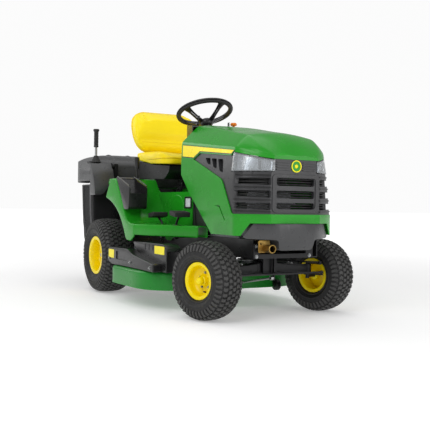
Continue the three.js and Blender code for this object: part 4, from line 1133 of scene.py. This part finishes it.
def build_lid():
    def form(inset):
        half = 400 - inset
        side = prism([(CATCHER_FRONT - inset, 700 - 5 * inset), (CATCHER_FRONT - inset, 748, 20),
                      (-288, 832 - inset, 34), (-396, 894 - inset, 90), (-590, 870 - inset, 90),
                      (CATCHER_REAR + 22 + inset, 772, 60), (CATCHER_REAR + inset, 716, 16),
                      (CATCHER_REAR + 8 + inset, 700 - 5 * inset)], "side", -500, 500, 8)
        plan = prism([(CATCHER_FRONT - inset, -half), (-500, -half, 110), (CATCHER_REAR + inset, -300, 120),
                      (CATCHER_REAR + inset, 300, 120), (-500, half, 110), (CATCHER_FRONT - inset, half)],
                     "plan", 600, 950, 8)
        section = prism([(-half + 6, 650), (-half, 752, 8), (-half + 3, 776, 30),
                         (-342 + inset, 874 - inset, 70), (0, 895 - inset, 60),
                         (342 - inset, 874 - inset, 70), (half - 3, 776, 30), (half, 752, 8),
                         (half - 6, 650)], "front", -900, -200, 8)
        return keep(side, plan, section)

    shell = cut(form(0), form(4))
    cut(shell, box(-400, -266, -394, 394, 600, 752))
    settle(shell, "catcher_lid_shell", LID_GREY, "catcher", 2.0, 26, 2, ["catcher_lid"])
    lobes = []
    for side in (-1, 1):
        spread = [(side * y, z) for y, z in ((399, 604), (346, 610), (300, 664), (256, 690), (256, 830),
                                             (399, 830))]
        spread = [(y, z, 14) if 600 < z < 700 else (y, z) for y, z in spread]
        sweep = [(-262, 600), (-170, 596, 26), (-163, 640, 50), (-208, 760, 60), (-262, 826, 20)]
        lobe = keep(side_plate(sweep, side, 256, 399, 8), prism(spread, "front", -300, -100, 6))
        bake(soften(lobe, 9, 4))
        inner = [(-275, 560), (-182, 560), (-171, 640, 46), (-214, 754, 56), (-275, 822, 20)]
        lobes.append(cut(lobe, side_plate(inner, side, 261, 394, 8)))
    settle(lobes, "catcher_front_lobes", LID_GREY, "catcher", degrees=30)
    lugs = []
    for side in (-1, 1):
        lug = side_plate([(-268, 778), (-240, 780, 14), (-222, 800, 14), (-240, 820, 14), (-268, 822)],
                         side, 243, 253)
        lugs.append(cut(lug, rod((-240, 0, 800), SIDEWAYS, 9, -300, 300, 24)))
    settle(lugs, "catcher_pivot_lugs", BLACK_STEEL, "catcher", 1.0)
    ribs = []
    for y in (-210, -70, 70, 210):
        path = [(-300, y, 850), (-396, y, 889), (-490, y, 884), (-590, y, 868), (-700, y, 826),
                (-776, y, 786)]
        ribs.append(tube(on_surface(bpy.data.objects["catcher_lid_shell"], path, 0.5), 3.2, 8))
    settle(ribs, "catcher_lid_ribs", LID_GREY, "catcher")
    rim_path = [(x, y, 708) for x, y, _ in plan_ring(0, CATCHER_FRONT - 3, 398, CATCHER_REAR + 3, 298)]
    rim = tube(on_surface(bpy.data.objects["catcher_lid_shell"], rim_path[1:-9], 0.4), 3.6, 8)
    settle(rim, "catcher_lid_rim", LID_GREY, "catcher")


HANDLE_X, HANDLE_Y = -289, -350


def build_dump_handle():
    centre = (HANDLE_X, HANDLE_Y, 0)
    boot = lathe([(30, 822), (33, 826), (31, 832), (27, 837), (25, 843), (21, 849), (19, 856), (16, 861),
                  (15, 868), (10.2, 868), (10.2, 822)], centre, UP, 36)
    settle(boot, "handle_boot", GRIP, "catcher")
    flange = prism([(-340, -398, 14), (-262, -392, 10), (-258, -312, 14), (-336, -306, 14)], "plan", 818, 832)
    skinned = keep(flange, prism([(-350, 800), (-350, 840), (-300, 842, 10), (-262, 800)],
                                 "side", -420, -280))
    settle(skinned, "handle_boot_plate", BLACK, "catcher", 2)
    shaft = rod(centre, UP, 8, 640, 932, 24)
    grip = [(0.01, 925), (14, 925), (16, 929)]
    for k in range(9):
        z = 936 + 10 * k
        grip += [(15.6, z), (13.4, z + 2.4), (13.4, z + 4.6), (15.6, z + 7)]
    grip += [(16, 1030), (19, 1033), (20, 1037), (19.5, 1042), (17, 1045), (0.01, 1045.5)]
    handle = lathe(grip, centre, UP, 32)
    settle(shaft, "handle_rod", ZINC, "dump_handle", stands_for=["dump_handle"])
    settle(handle, "handle_grip", GRIP, "dump_handle", degrees=40)


def build_bag():
    """A fabric bag on a wire frame: wall panels pulled in between the wires and sagging below."""
    levels = [(238, CATCHER_FRONT - 26, 322, CATCHER_REAR + 120, 226),
              (262, CATCHER_FRONT - 6, 344, CATCHER_REAR + 80, 252),
              (320, CATCHER_FRONT, 362, CATCHER_REAR + 48, 270),
              (410, CATCHER_FRONT, 368, CATCHER_REAR + 36, 275),
              (500, CATCHER_FRONT, 372, CATCHER_REAR + 26, 278),
              (600, CATCHER_FRONT, 374, CATCHER_REAR + 23, 279),
              (704, CATCHER_FRONT, 376, CATCHER_REAR + 22, 280)]
    rings = []
    for (z0, f0, h0, r0, b0), (z1, f1, h1, r1, b1) in zip(levels, levels[1:]):
        for k in range(4):
            t = k / 4
            rings.append(plan_ring(z0 + (z1 - z0) * t, f0 + (f1 - f0) * t, h0 + (h1 - h0) * t,
                                   r0 + (r1 - r0) * t, b0 + (b1 - b0) * t))
    rings.append(plan_ring(*levels[-1]))
    bag = skin(rings, caps=True)
    mouth = box(CATCHER_FRONT - 60, CATCHER_FRONT + 40, -160, 160, 326, 602)
    cut(bag, mouth)

    def wires(x, y, z):
        near_mouth = x > CATCHER_FRONT - 14
        top = z > 690
        post = any(abs(abs(y) - side) < 7 and abs(x - back) < 7 for side, back in ((372, -500), (278, -784)))
        floor_rim = 255 < z < 262
        return near_mouth or top or post or floor_rim

    inflate(bag, 9, -1.6, 12, wires, 12)
    upholster(bag, "catcher_bag_fabric", FABRIC, "catcher", "catcher_bag")


def bag_wire(bag, path, radius, name):
    line = tube(on_surface(bag, path, 0.6), radius, 8)
    settle(line, name, BLACK, "catcher")


def build_bag_details():
    bag = bpy.data.objects["catcher_bag_fabric"]
    for z, half, radius, tag in ((262, 346, 4.2, "lower"), (688, 376, 4.6, "upper")):
        ring = plan_ring(z, CATCHER_FRONT, half, CATCHER_REAR + 22, 280)
        bag_wire(bag, [spot for spot in ring if spot[0] < CATCHER_FRONT - 4], radius, f"bag_{tag}_binding")
    for side, name in SIDES:
        for x, y, tag in ((-306, 396, "front"), (-470, 396, "middle"), (-830, 304, "rear")):
            path = [(x, side * y, z) for z in range(272, 690, 20)]
            bag_wire(bag, path, 3.4, f"bag_{tag}_wire_{name}")
        strip = []
        for z in range(280, 690, 14):
            strip.append([(-352, side * 400, z), (-318, side * 400, z)])
        rows = [on_surface(bag, row, 1.6) for row in strip]
        back = [on_surface(bag, row, 0.4) for row in strip]
        rings = [[a[0], a[1], b[1], b[0]] for a, b in zip(rows, back)]
        settle(skin(rings), f"bag_side_strip_{name}", STRAP, "catcher")


build_lid()
build_dump_handle()
build_bag()
build_bag_details()


# ---------------------------------------------------------------- steering wheel and pedals
TILT = math.radians(20)
SPOKE_ANGLES = [math.radians(16 + 90 * i) for i in range(4)]


def wheel_at(x, y, z):
    """From the steering wheel's own axes to axle-frame millimetres."""
    return (WHEEL_X + math.cos(TILT) * x - math.sin(TILT) * z, y,
            WHEEL_Z + math.sin(TILT) * x + math.cos(TILT) * z)


def build_steering_wheel():
    centre = wheel_at(0, 0, 0)
    up = (-math.sin(TILT), 0, math.cos(TILT))
    grip = [(153 + 14 * math.cos(t), 14.5 * math.sin(t)) for t in (math.tau * k / 20 for k in range(20))]
    rim = lathe(grip, centre, up, 96, closed=False)
    pieces = []
    for angle in SPOKE_ANGLES:
        along, across = (math.cos(angle), math.sin(angle)), (-math.sin(angle), math.cos(angle))
        rings, slot = [], []
        for r, z, half, thick in ((16, -70, 22, 9), (34, -66, 20, 8.5), (60, -52, 16, 7.5), (90, -34, 15, 7),
                                  (118, -17, 17, 7), (136, -7, 23, 8), (150, -1, 32, 7)):
            def spot(side, rise, r=r, z=z):
                return wheel_at(r * along[0] + side * across[0], r * along[1] + side * across[1], z + rise)
            rings.append([spot(s * half, t * thick) for s, t in
                          ((-1, -0.3), (-0.8, -0.9), (0, -1), (0.8, -0.9), (1, -0.3), (0.9, 0.6), (0, 1),
                           (-0.9, 0.6))])
            if 34 < r < 130:
                slot.append([spot(s * 5.5, t) for s, t in ((-1, -20), (1, -20), (1, 20), (-1, 20))])
        spoke = subdivide(skin(rings), 1)
        pieces.append(cut(bake(spoke), skin(slot)))
    hub = lathe([(0.01, -88), (30, -88), (37, -80), (40, -68), (39, -58), (34, -52), (30, -50.5), (29, -52),
                 (0.01, -52)], centre, up, 48)
    spokes = join(*pieces, hub)
    settle(spokes, "steering_spokes", BLACK, "steering", degrees=45)
    settle(rim, "steering_rim", GRIP, "steering", degrees=60, stands_for=["steering_wheel"])
    cap = lathe([(0.01, -53), (27, -53), (27, -49), (24, -46.5), (0.01, -45)], centre, up, 40)
    settle(cap, "steering_cap", GREY, "steering", degrees=50)
    collar = lathe([(13, -110), (17, -110), (19, -104), (24, -90), (13, -90)], centre, up, 32)
    settle(collar, "steering_collar", BLACK, "steering", degrees=40)


def build_pedal(name, body, foot_x, pad_x, pad_z, side):
    y, z = side * PEDAL_Y, 380
    hub = lathe([(8, -9), (14, -9), (14, 9), (8, 9)], (foot_x, y, z), SIDEWAYS, 32)
    lean = 1 if pad_x > foot_x else -1
    arm = tube([(foot_x, y, z + 10), (foot_x, y, 420), (foot_x + lean * 2, y, 446),
                (pad_x - lean * 14, y, pad_z - 22), (pad_x, y, pad_z - 4)], 6.6, 16)
    settle([hub, arm], f"{name}_arm", BLACK_STEEL, body, degrees=40)
    front, back = (pad_z - 4, pad_z + 6) if lean > 0 else (pad_z + 6, pad_z - 4)
    pad = prism([(pad_x - 33, back - 20, 6), (pad_x + 33, front - 20, 6), (pad_x + 35, front + 6, 8),
                 (pad_x - 35, back + 6, 8)], "side", y - 46, y + 46)
    bake(soften(pad, 6, 4))
    grooves = []
    for k in range(5):
        x = pad_x - 24 + 12 * k
        top = back + (front - back) * (x - pad_x + 35) / 70 + 6
        grooves.append(box(x - 1.8, x + 1.8, y - 60, y + 60, top - 3, top + 10))
    cut(pad, *grooves)
    settle(pad, f"{name}_pad", GRIP, body, degrees=35, stands_for=[name])


build_steering_wheel()
build_pedal("forward_pedal", "forward_pedal", 829, 872, 508, -1)
build_pedal("reverse_pedal", "reverse_pedal", 655, 597, 498, -1)
build_pedal("brake_pedal", "brake_pedal", 829, 872, 508, 1)


# ---------------------------------------------------------------- mower deck
def deck_plan(inset):
    side = [(350 + inset, 500 - inset, 105 - inset), (860, 500 - inset, 150), (985 - inset, 320, 110 - inset)]
    far = [(x, -y, r) for x, y, r in side][::-1]
    return side + far


def build_deck():
    shell = bake(soften(prism(deck_plan(0), "plan", 60, 200, 12), 17, 5, 60))
    hollow = bake(soften(prism(deck_plan(4), "plan", 40, 196, 12), 13, 5, 60))
    cut(shell, hollow, box(200, 1200, -600, 600, 0, 105))
    lip = cut(prism(deck_plan(-1.2), "plan", 105, 112, 12), prism(deck_plan(9), "plan", 90, 130, 12))
    join(shell, lip)
    lugs = []
    for side in (-1, 1):
        lugs.append(side_plate([(449, 192), (449, 214), (456, 226, 8), (474, 226, 8), (481, 214), (481, 192)],
                               side, 311, 318))
        lugs.append(side_plate([(970, 126), (970, 154), (1006, 154, 12), (1018, 140, 10), (1006, 126, 12)],
                               side, 11, 17))
    join(shell, *lugs)
    bores = [rod((667, side * 235, 0), UP, 15, 150, 250) for side in (-1, 1)]
    bores.append(rod((465, 0, 212), SIDEWAYS, 7.6, -340, 340, 24))
    bores.append(rod((1005, 0, 140), SIDEWAYS, 7, -40, 40, 24))
    bores.append(box(330, 372, -142, 142, 90, 196))
    cut(shell, *bores)
    settle(shell, "deck_housing", DECK_GREEN, "deck", degrees=38, stands_for=["deck_shell"])
    ribs = [prism([(470, 199), (480, 203.4, 4), (900, 203.4, 4), (910, 199)], "side", y - 9, y + 9)
            for y in (-150, 0, 150)]
    settle(ribs, "deck_top_ribs", DECK_GREEN, "deck", 1.2)
    wheels = []
    for side in (-1, 1):
        wheels.append(disc((992, side * 240, 118), SIDEWAYS, 30, -14, 14, 4, 40))
        wheels.append(bolt((992, side * 255, 118), (0, side, 0), 6))
        wheels.append(side_plate([(945, 150), (945, 190, 6), (975, 190, 8), (1006, 118, 12), (980, 108, 10)],
                                 side, 218, 223))
    settle(wheels, "deck_gauge_wheels", BLACK, "deck", degrees=35)


def belt_cover_solid():
    tall = bake(soften(prism([(548, 345, 20), (606, 280, 30), (690, 232, 30), (748, 202), (984, 202),
                              (986, 322, 16), (944, 346, 22)], "side", 345, 430, 8), 9, 4, 50))
    low = bake(soften(prism([(306, 218, 14), (306, 299, 16), (590, 304, 40), (652, 278, 40), (934, 243, 12),
                             (934, 202), (356, 202, 20)], "side", 425, 482, 8), 6, 4, 50))
    join(tall, low)
    return cut(tall, prism([(430, 236, 10), (430, 284, 12), (560, 286, 20), (600, 268, 20), (600, 236, 10)],
                           "side", 477, 495, 8))


def build_belt_cover(side, tag):
    cover = belt_cover_solid()
    if side < 0:
        flipped(cover)
    settle(cover, f"belt_cover_{tag}_shell", BLACK, "deck", degrees=34,
           stands_for=[f"belt_cover_{tag}"])
    screws = [bolt((x, side * 482.5, z), (0, side, 0), 6.5) for x, z in ((330, 236), (640, 232), (900, 222))]
    settle(screws, f"belt_cover_{tag}_screws", ZINC, "deck")
    ribs = [tube([(x, side * 430.4, 338), (x, side * 430.4, 308)], 2.6, 8, False) for x in (720, 770, 820)]
    settle(ribs, f"belt_cover_{tag}_ribs", BLACK, "deck")
    labels = [side_plate(oblong(842, 962, 292, 334, 4), side, 429.5, 430.9),
              side_plate(oblong(316, 398, 240, 288, 4), side, 481.5, 482.9)]
    settle(labels, f"belt_cover_{tag}_blank_labels", STRIPE, "deck")


# ---------------------------------------------------------------- bumper, exhaust and front axle
def bumper_block(inset):
    front = [(-276 + inset, 446, 8), (-260 + inset, 466 - inset, 10), (260 - inset, 466 - inset, 10),
             (276 - inset, 446, 8), (238 - inset, 395 + inset, 16), (112 - inset, 392 + inset, 14),
             (100 - inset, 341 + inset, 16), (-87 + inset, 341 + inset, 16), (-100 + inset, 392 + inset, 14),
             (-238 + inset, 395 + inset, 16)]
    nose = 1514 - inset
    side = [(1385 - 2 * inset, 290), (1398 - inset, 290), (1424 - inset, 238, 40), (nose - 20, 142, 90),
            (nose, 40, 60)]
    plan = [(x, -y, *r) for x, y, *r in side] + side[::-1]
    profile = [(1300, 300), (nose - 24, 336, 20), (nose - 8, 392, 60), (nose, 440, 30),
               (nose - 3, 470 - inset, 6), (1300, 470 - inset)]
    return keep(prism(front, "front", 1300, 1600, 8), prism(plan, "plan", 300, 500, 8),
                prism(profile, "side", -300, 300, 8))


def build_bumper():
    outer = bake(soften(bumper_block(0), 5, 3, 30))
    cut(outer, bumper_block(6))
    cut(outer, *[side_plate([(1300, 400), (1419, 400), (1450, 469), (1300, 469)], side, 190, 300)
                 for side in (-1, 1)])
    settle(outer, "bumper_shell", LID_GREY, "chassis", degrees=36, stands_for=["front_bumper"])


def build_exhaust_details():
    flange = prism(oblong(-176, -110, 330, 388, 8), "front", 1446, 1449.5)
    cut(flange, rod((1448, EXHAUST_Y, EXHAUST_Z), FORWARD, 19.4, -60, 60),
        rod((1448, -162, 372), FORWARD, 5, -60, 60, 20))
    settle(flange, "exhaust_guard", BRASS, "chassis", 0.8)
    stay = box(1429, 1446, -174, -150, 336, 352)
    settle(stay, "exhaust_stay", BLACK_STEEL, "chassis", 1.5)
    pipe = lathe([(16.2, 1395), (19.3, 1395), (19.3, 1494), (20.6, 1496), (20.6, 1502), (19, 1504),
                  (16.2, 1504)],
                 (0, EXHAUST_Y, EXHAUST_Z), FORWARD, 40)
    settle(pipe, "exhaust_tip", BRASS, "chassis", degrees=40)
    ears = [bolt((1428.6, y, z), FORWARD, 7) for y in (134, -172) for z in (358, 311)]
    settle(ears, "front_bracket_bolts", ZINC, "chassis")


def build_tunnel_gaskets():
    """Black strips that close the narrow gap between the tunnel's walls and the dash pedestal."""
    strips = [side_plate([(814, 438), (852, 438), (826, 564), (814, 564)], side, 190.3, 194.6)
              for side in (-1, 1)]
    settle(strips, "tunnel_gaskets", BLACK, "chassis", 1)


def build_axle_details():
    hardware = []
    for side in (-1, 1):
        for dx in (-14, 14):
            hardware.append(bolt((FRONT_AXLE_X + dx, side * 150, 257), UP, 6))
    hardware.append(bolt((1270, 0, 240), FORWARD, 14))
    settle(hardware, "axle_hardware", ZINC, "front_axle")
    beads = []
    for middle, inner, knee, outer in ((264, 262, 255, 245), (216, 218, 210, 217)):
        for side in (-1, 1):
            beads.append(tube([(1268, side * 62, inner), (1267, side * 110, knee),
                               (1264, side * 236, outer)], 3.2, 10))
        beads.append(tube([(1268, -58, middle), (1268, 58, middle)], 3.2, 10, False))
    settle(beads, "axle_flange_beads", BLACK_STEEL, "front_axle")


build_deck()
for cover_side, cover_name in SIDES:
    build_belt_cover(cover_side, cover_name)
build_bumper()
build_exhaust_details()
build_axle_details()
build_tunnel_gaskets()


# ---------------------------------------------------------------- CAD nodes that stay, refinished
def dress(node, material, round_mm):
    """Gives a CAD node its finish, with softened edges as modifiers only."""
    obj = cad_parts[node]
    if obj.hide_render:
        return
    obj.data.materials.clear()
    obj.data.materials.append(material)
    for polygon in obj.data.polygons:
        polygon.material_index = 0
        polygon.use_smooth = True
    weld = obj.modifiers.new("weld", "WELD")
    weld.merge_threshold = 0.00002
    flat = obj.modifiers.new("flat", "DECIMATE")
    flat.decimate_type = "DISSOLVE"
    flat.angle_limit = math.radians(1)
    soften(obj, round_mm, 2, 30)
    weighted = obj.modifiers.new("normals", "WEIGHTED_NORMAL")
    weighted.keep_sharp = True


DRESSES = (
    (BLACK_STEEL, ("frame", "hitch_plate", "front_bracket", "front_axle_beam", "spindle_right",
                   "spindle_left", "tie_rod", "drag_link", "steering_shaft", "lift_arm", "seat_bracket")),
    (BLACK, ("dash_console", "engine_shroud", "battery", "fuel_cap", "discharge_chute", "lift_lever",
             "seat_pan", "throttle_lever")),
    (CAST, ("engine_block", "muffler", "transaxle", "steering_pinion", "sector_gear", "blade_spindle_right",
            "blade_spindle_left")),
    (ZINC, ("axle_shaft_right", "axle_shaft_left", "front_draft_link", "ignition_key")),
    (BRASS, ("exhaust_elbow",)), (TANK, ("fuel_tank",)), (ORANGE, ("blade_knob",)),
)
ROUNDING = {"dash_console": 5, "seat_pan": 4, "discharge_chute": 1.8, "fuel_tank": 12, "battery": 4}
for finish, dressed_nodes in DRESSES:
    for dressed in dressed_nodes:
        dress(dressed, finish, ROUNDING.get(dressed, 1.2))


# ---------------------------------------------------------------- stage, light and camera
def build_stage():
    mesh = bpy.data.meshes.new("floor")
    half = 60
    mesh.from_pydata([(-half, -half, 0), (half, -half, 0), (half, half, 0), (-half, half, 0)], [],
                     [(0, 1, 2, 3)])
    floor = new_object("floor", mesh)
    pale = Nodes("floor_white", (0.82, 0.82, 0.82), 0.7, specular=0.2)
    pale.set("Emission Color", (1, 1, 1, 1))
    distance = pale.node("ShaderNodeVectorMath")
    distance.operation = "LENGTH"
    pale.link(pale.coords, distance.inputs[0])
    fade = pale.ramp(distance.outputs["Value"], 0.26, 0.75, 1.8, 7.0)
    pale.link(fade, pale.shader.inputs["Emission Strength"])
    mesh.materials.append(pale.material)
    world = bpy.data.worlds.new("studio")
    bpy.context.scene.world = world
    world.use_nodes = True
    tree = world.node_tree
    tree.nodes["Background"].inputs["Color"].default_value = (1, 1, 1, 1)
    path = tree.nodes.new("ShaderNodeLightPath")
    strength = tree.nodes.new("ShaderNodeMapRange")
    strength.inputs["To Min"].default_value = 0.48
    strength.inputs["To Max"].default_value = 0.97
    tree.links.new(path.outputs["Is Camera Ray"], strength.inputs["Value"])
    tree.links.new(strength.outputs["Result"], tree.nodes["Background"].inputs["Strength"])
    bpy.context.scene.view_settings.view_transform = "Standard"
    bpy.context.scene.view_settings.look = "None"


def area_light(name, place, target, size, power):
    data = bpy.data.lights.new(name, "AREA")
    data.shape = "RECTANGLE"
    data.size, data.size_y = size
    data.energy = power
    lamp = bpy.data.objects.new(name, data)
    bpy.context.scene.collection.objects.link(lamp)
    lamp.location = place
    lamp.rotation_euler = (Vector(target) - Vector(place)).to_track_quat("-Z", "Y").to_euler()


def build_camera():
    data = bpy.data.cameras.new("camera")
    data.sensor_width, data.lens = 36, 60.34
    camera = bpy.data.objects.new("camera", data)
    bpy.context.scene.collection.objects.link(camera)
    bpy.context.scene.camera = camera
    back = Vector((0.8721, -0.4891, 0.0127)).normalized()
    right = Vector((0.4891, 0.8722, 0)).normalized()
    up = back.cross(right)
    roll = math.radians(0.858)
    turned_right = right * math.cos(roll) + up * math.sin(roll)
    turned_up = up * math.cos(roll) - right * math.sin(roll)
    matrix = Matrix((turned_right, turned_up, back)).transposed().to_4x4()
    matrix.translation = (3.9336, -2.0014, 0.5469)
    camera.matrix_world = matrix


build_stage()
area_light("key", (2.6, -3.4, 3.4), (0.2, 0, 0.5), (2.6, 2.6), 75)
area_light("front_fill", (4.6, 1.6, 1.8), (0.6, 0, 0.5), (2.4, 2.4), 38)
area_light("overhead", (0, 0, 4.2), (0, 0, 0), (3.6, 3.0), 42)
area_light("rear_rim", (-3.2, -2.2, 2.4), (0, 0, 0.6), (2.0, 2.0), 24)
build_camera()
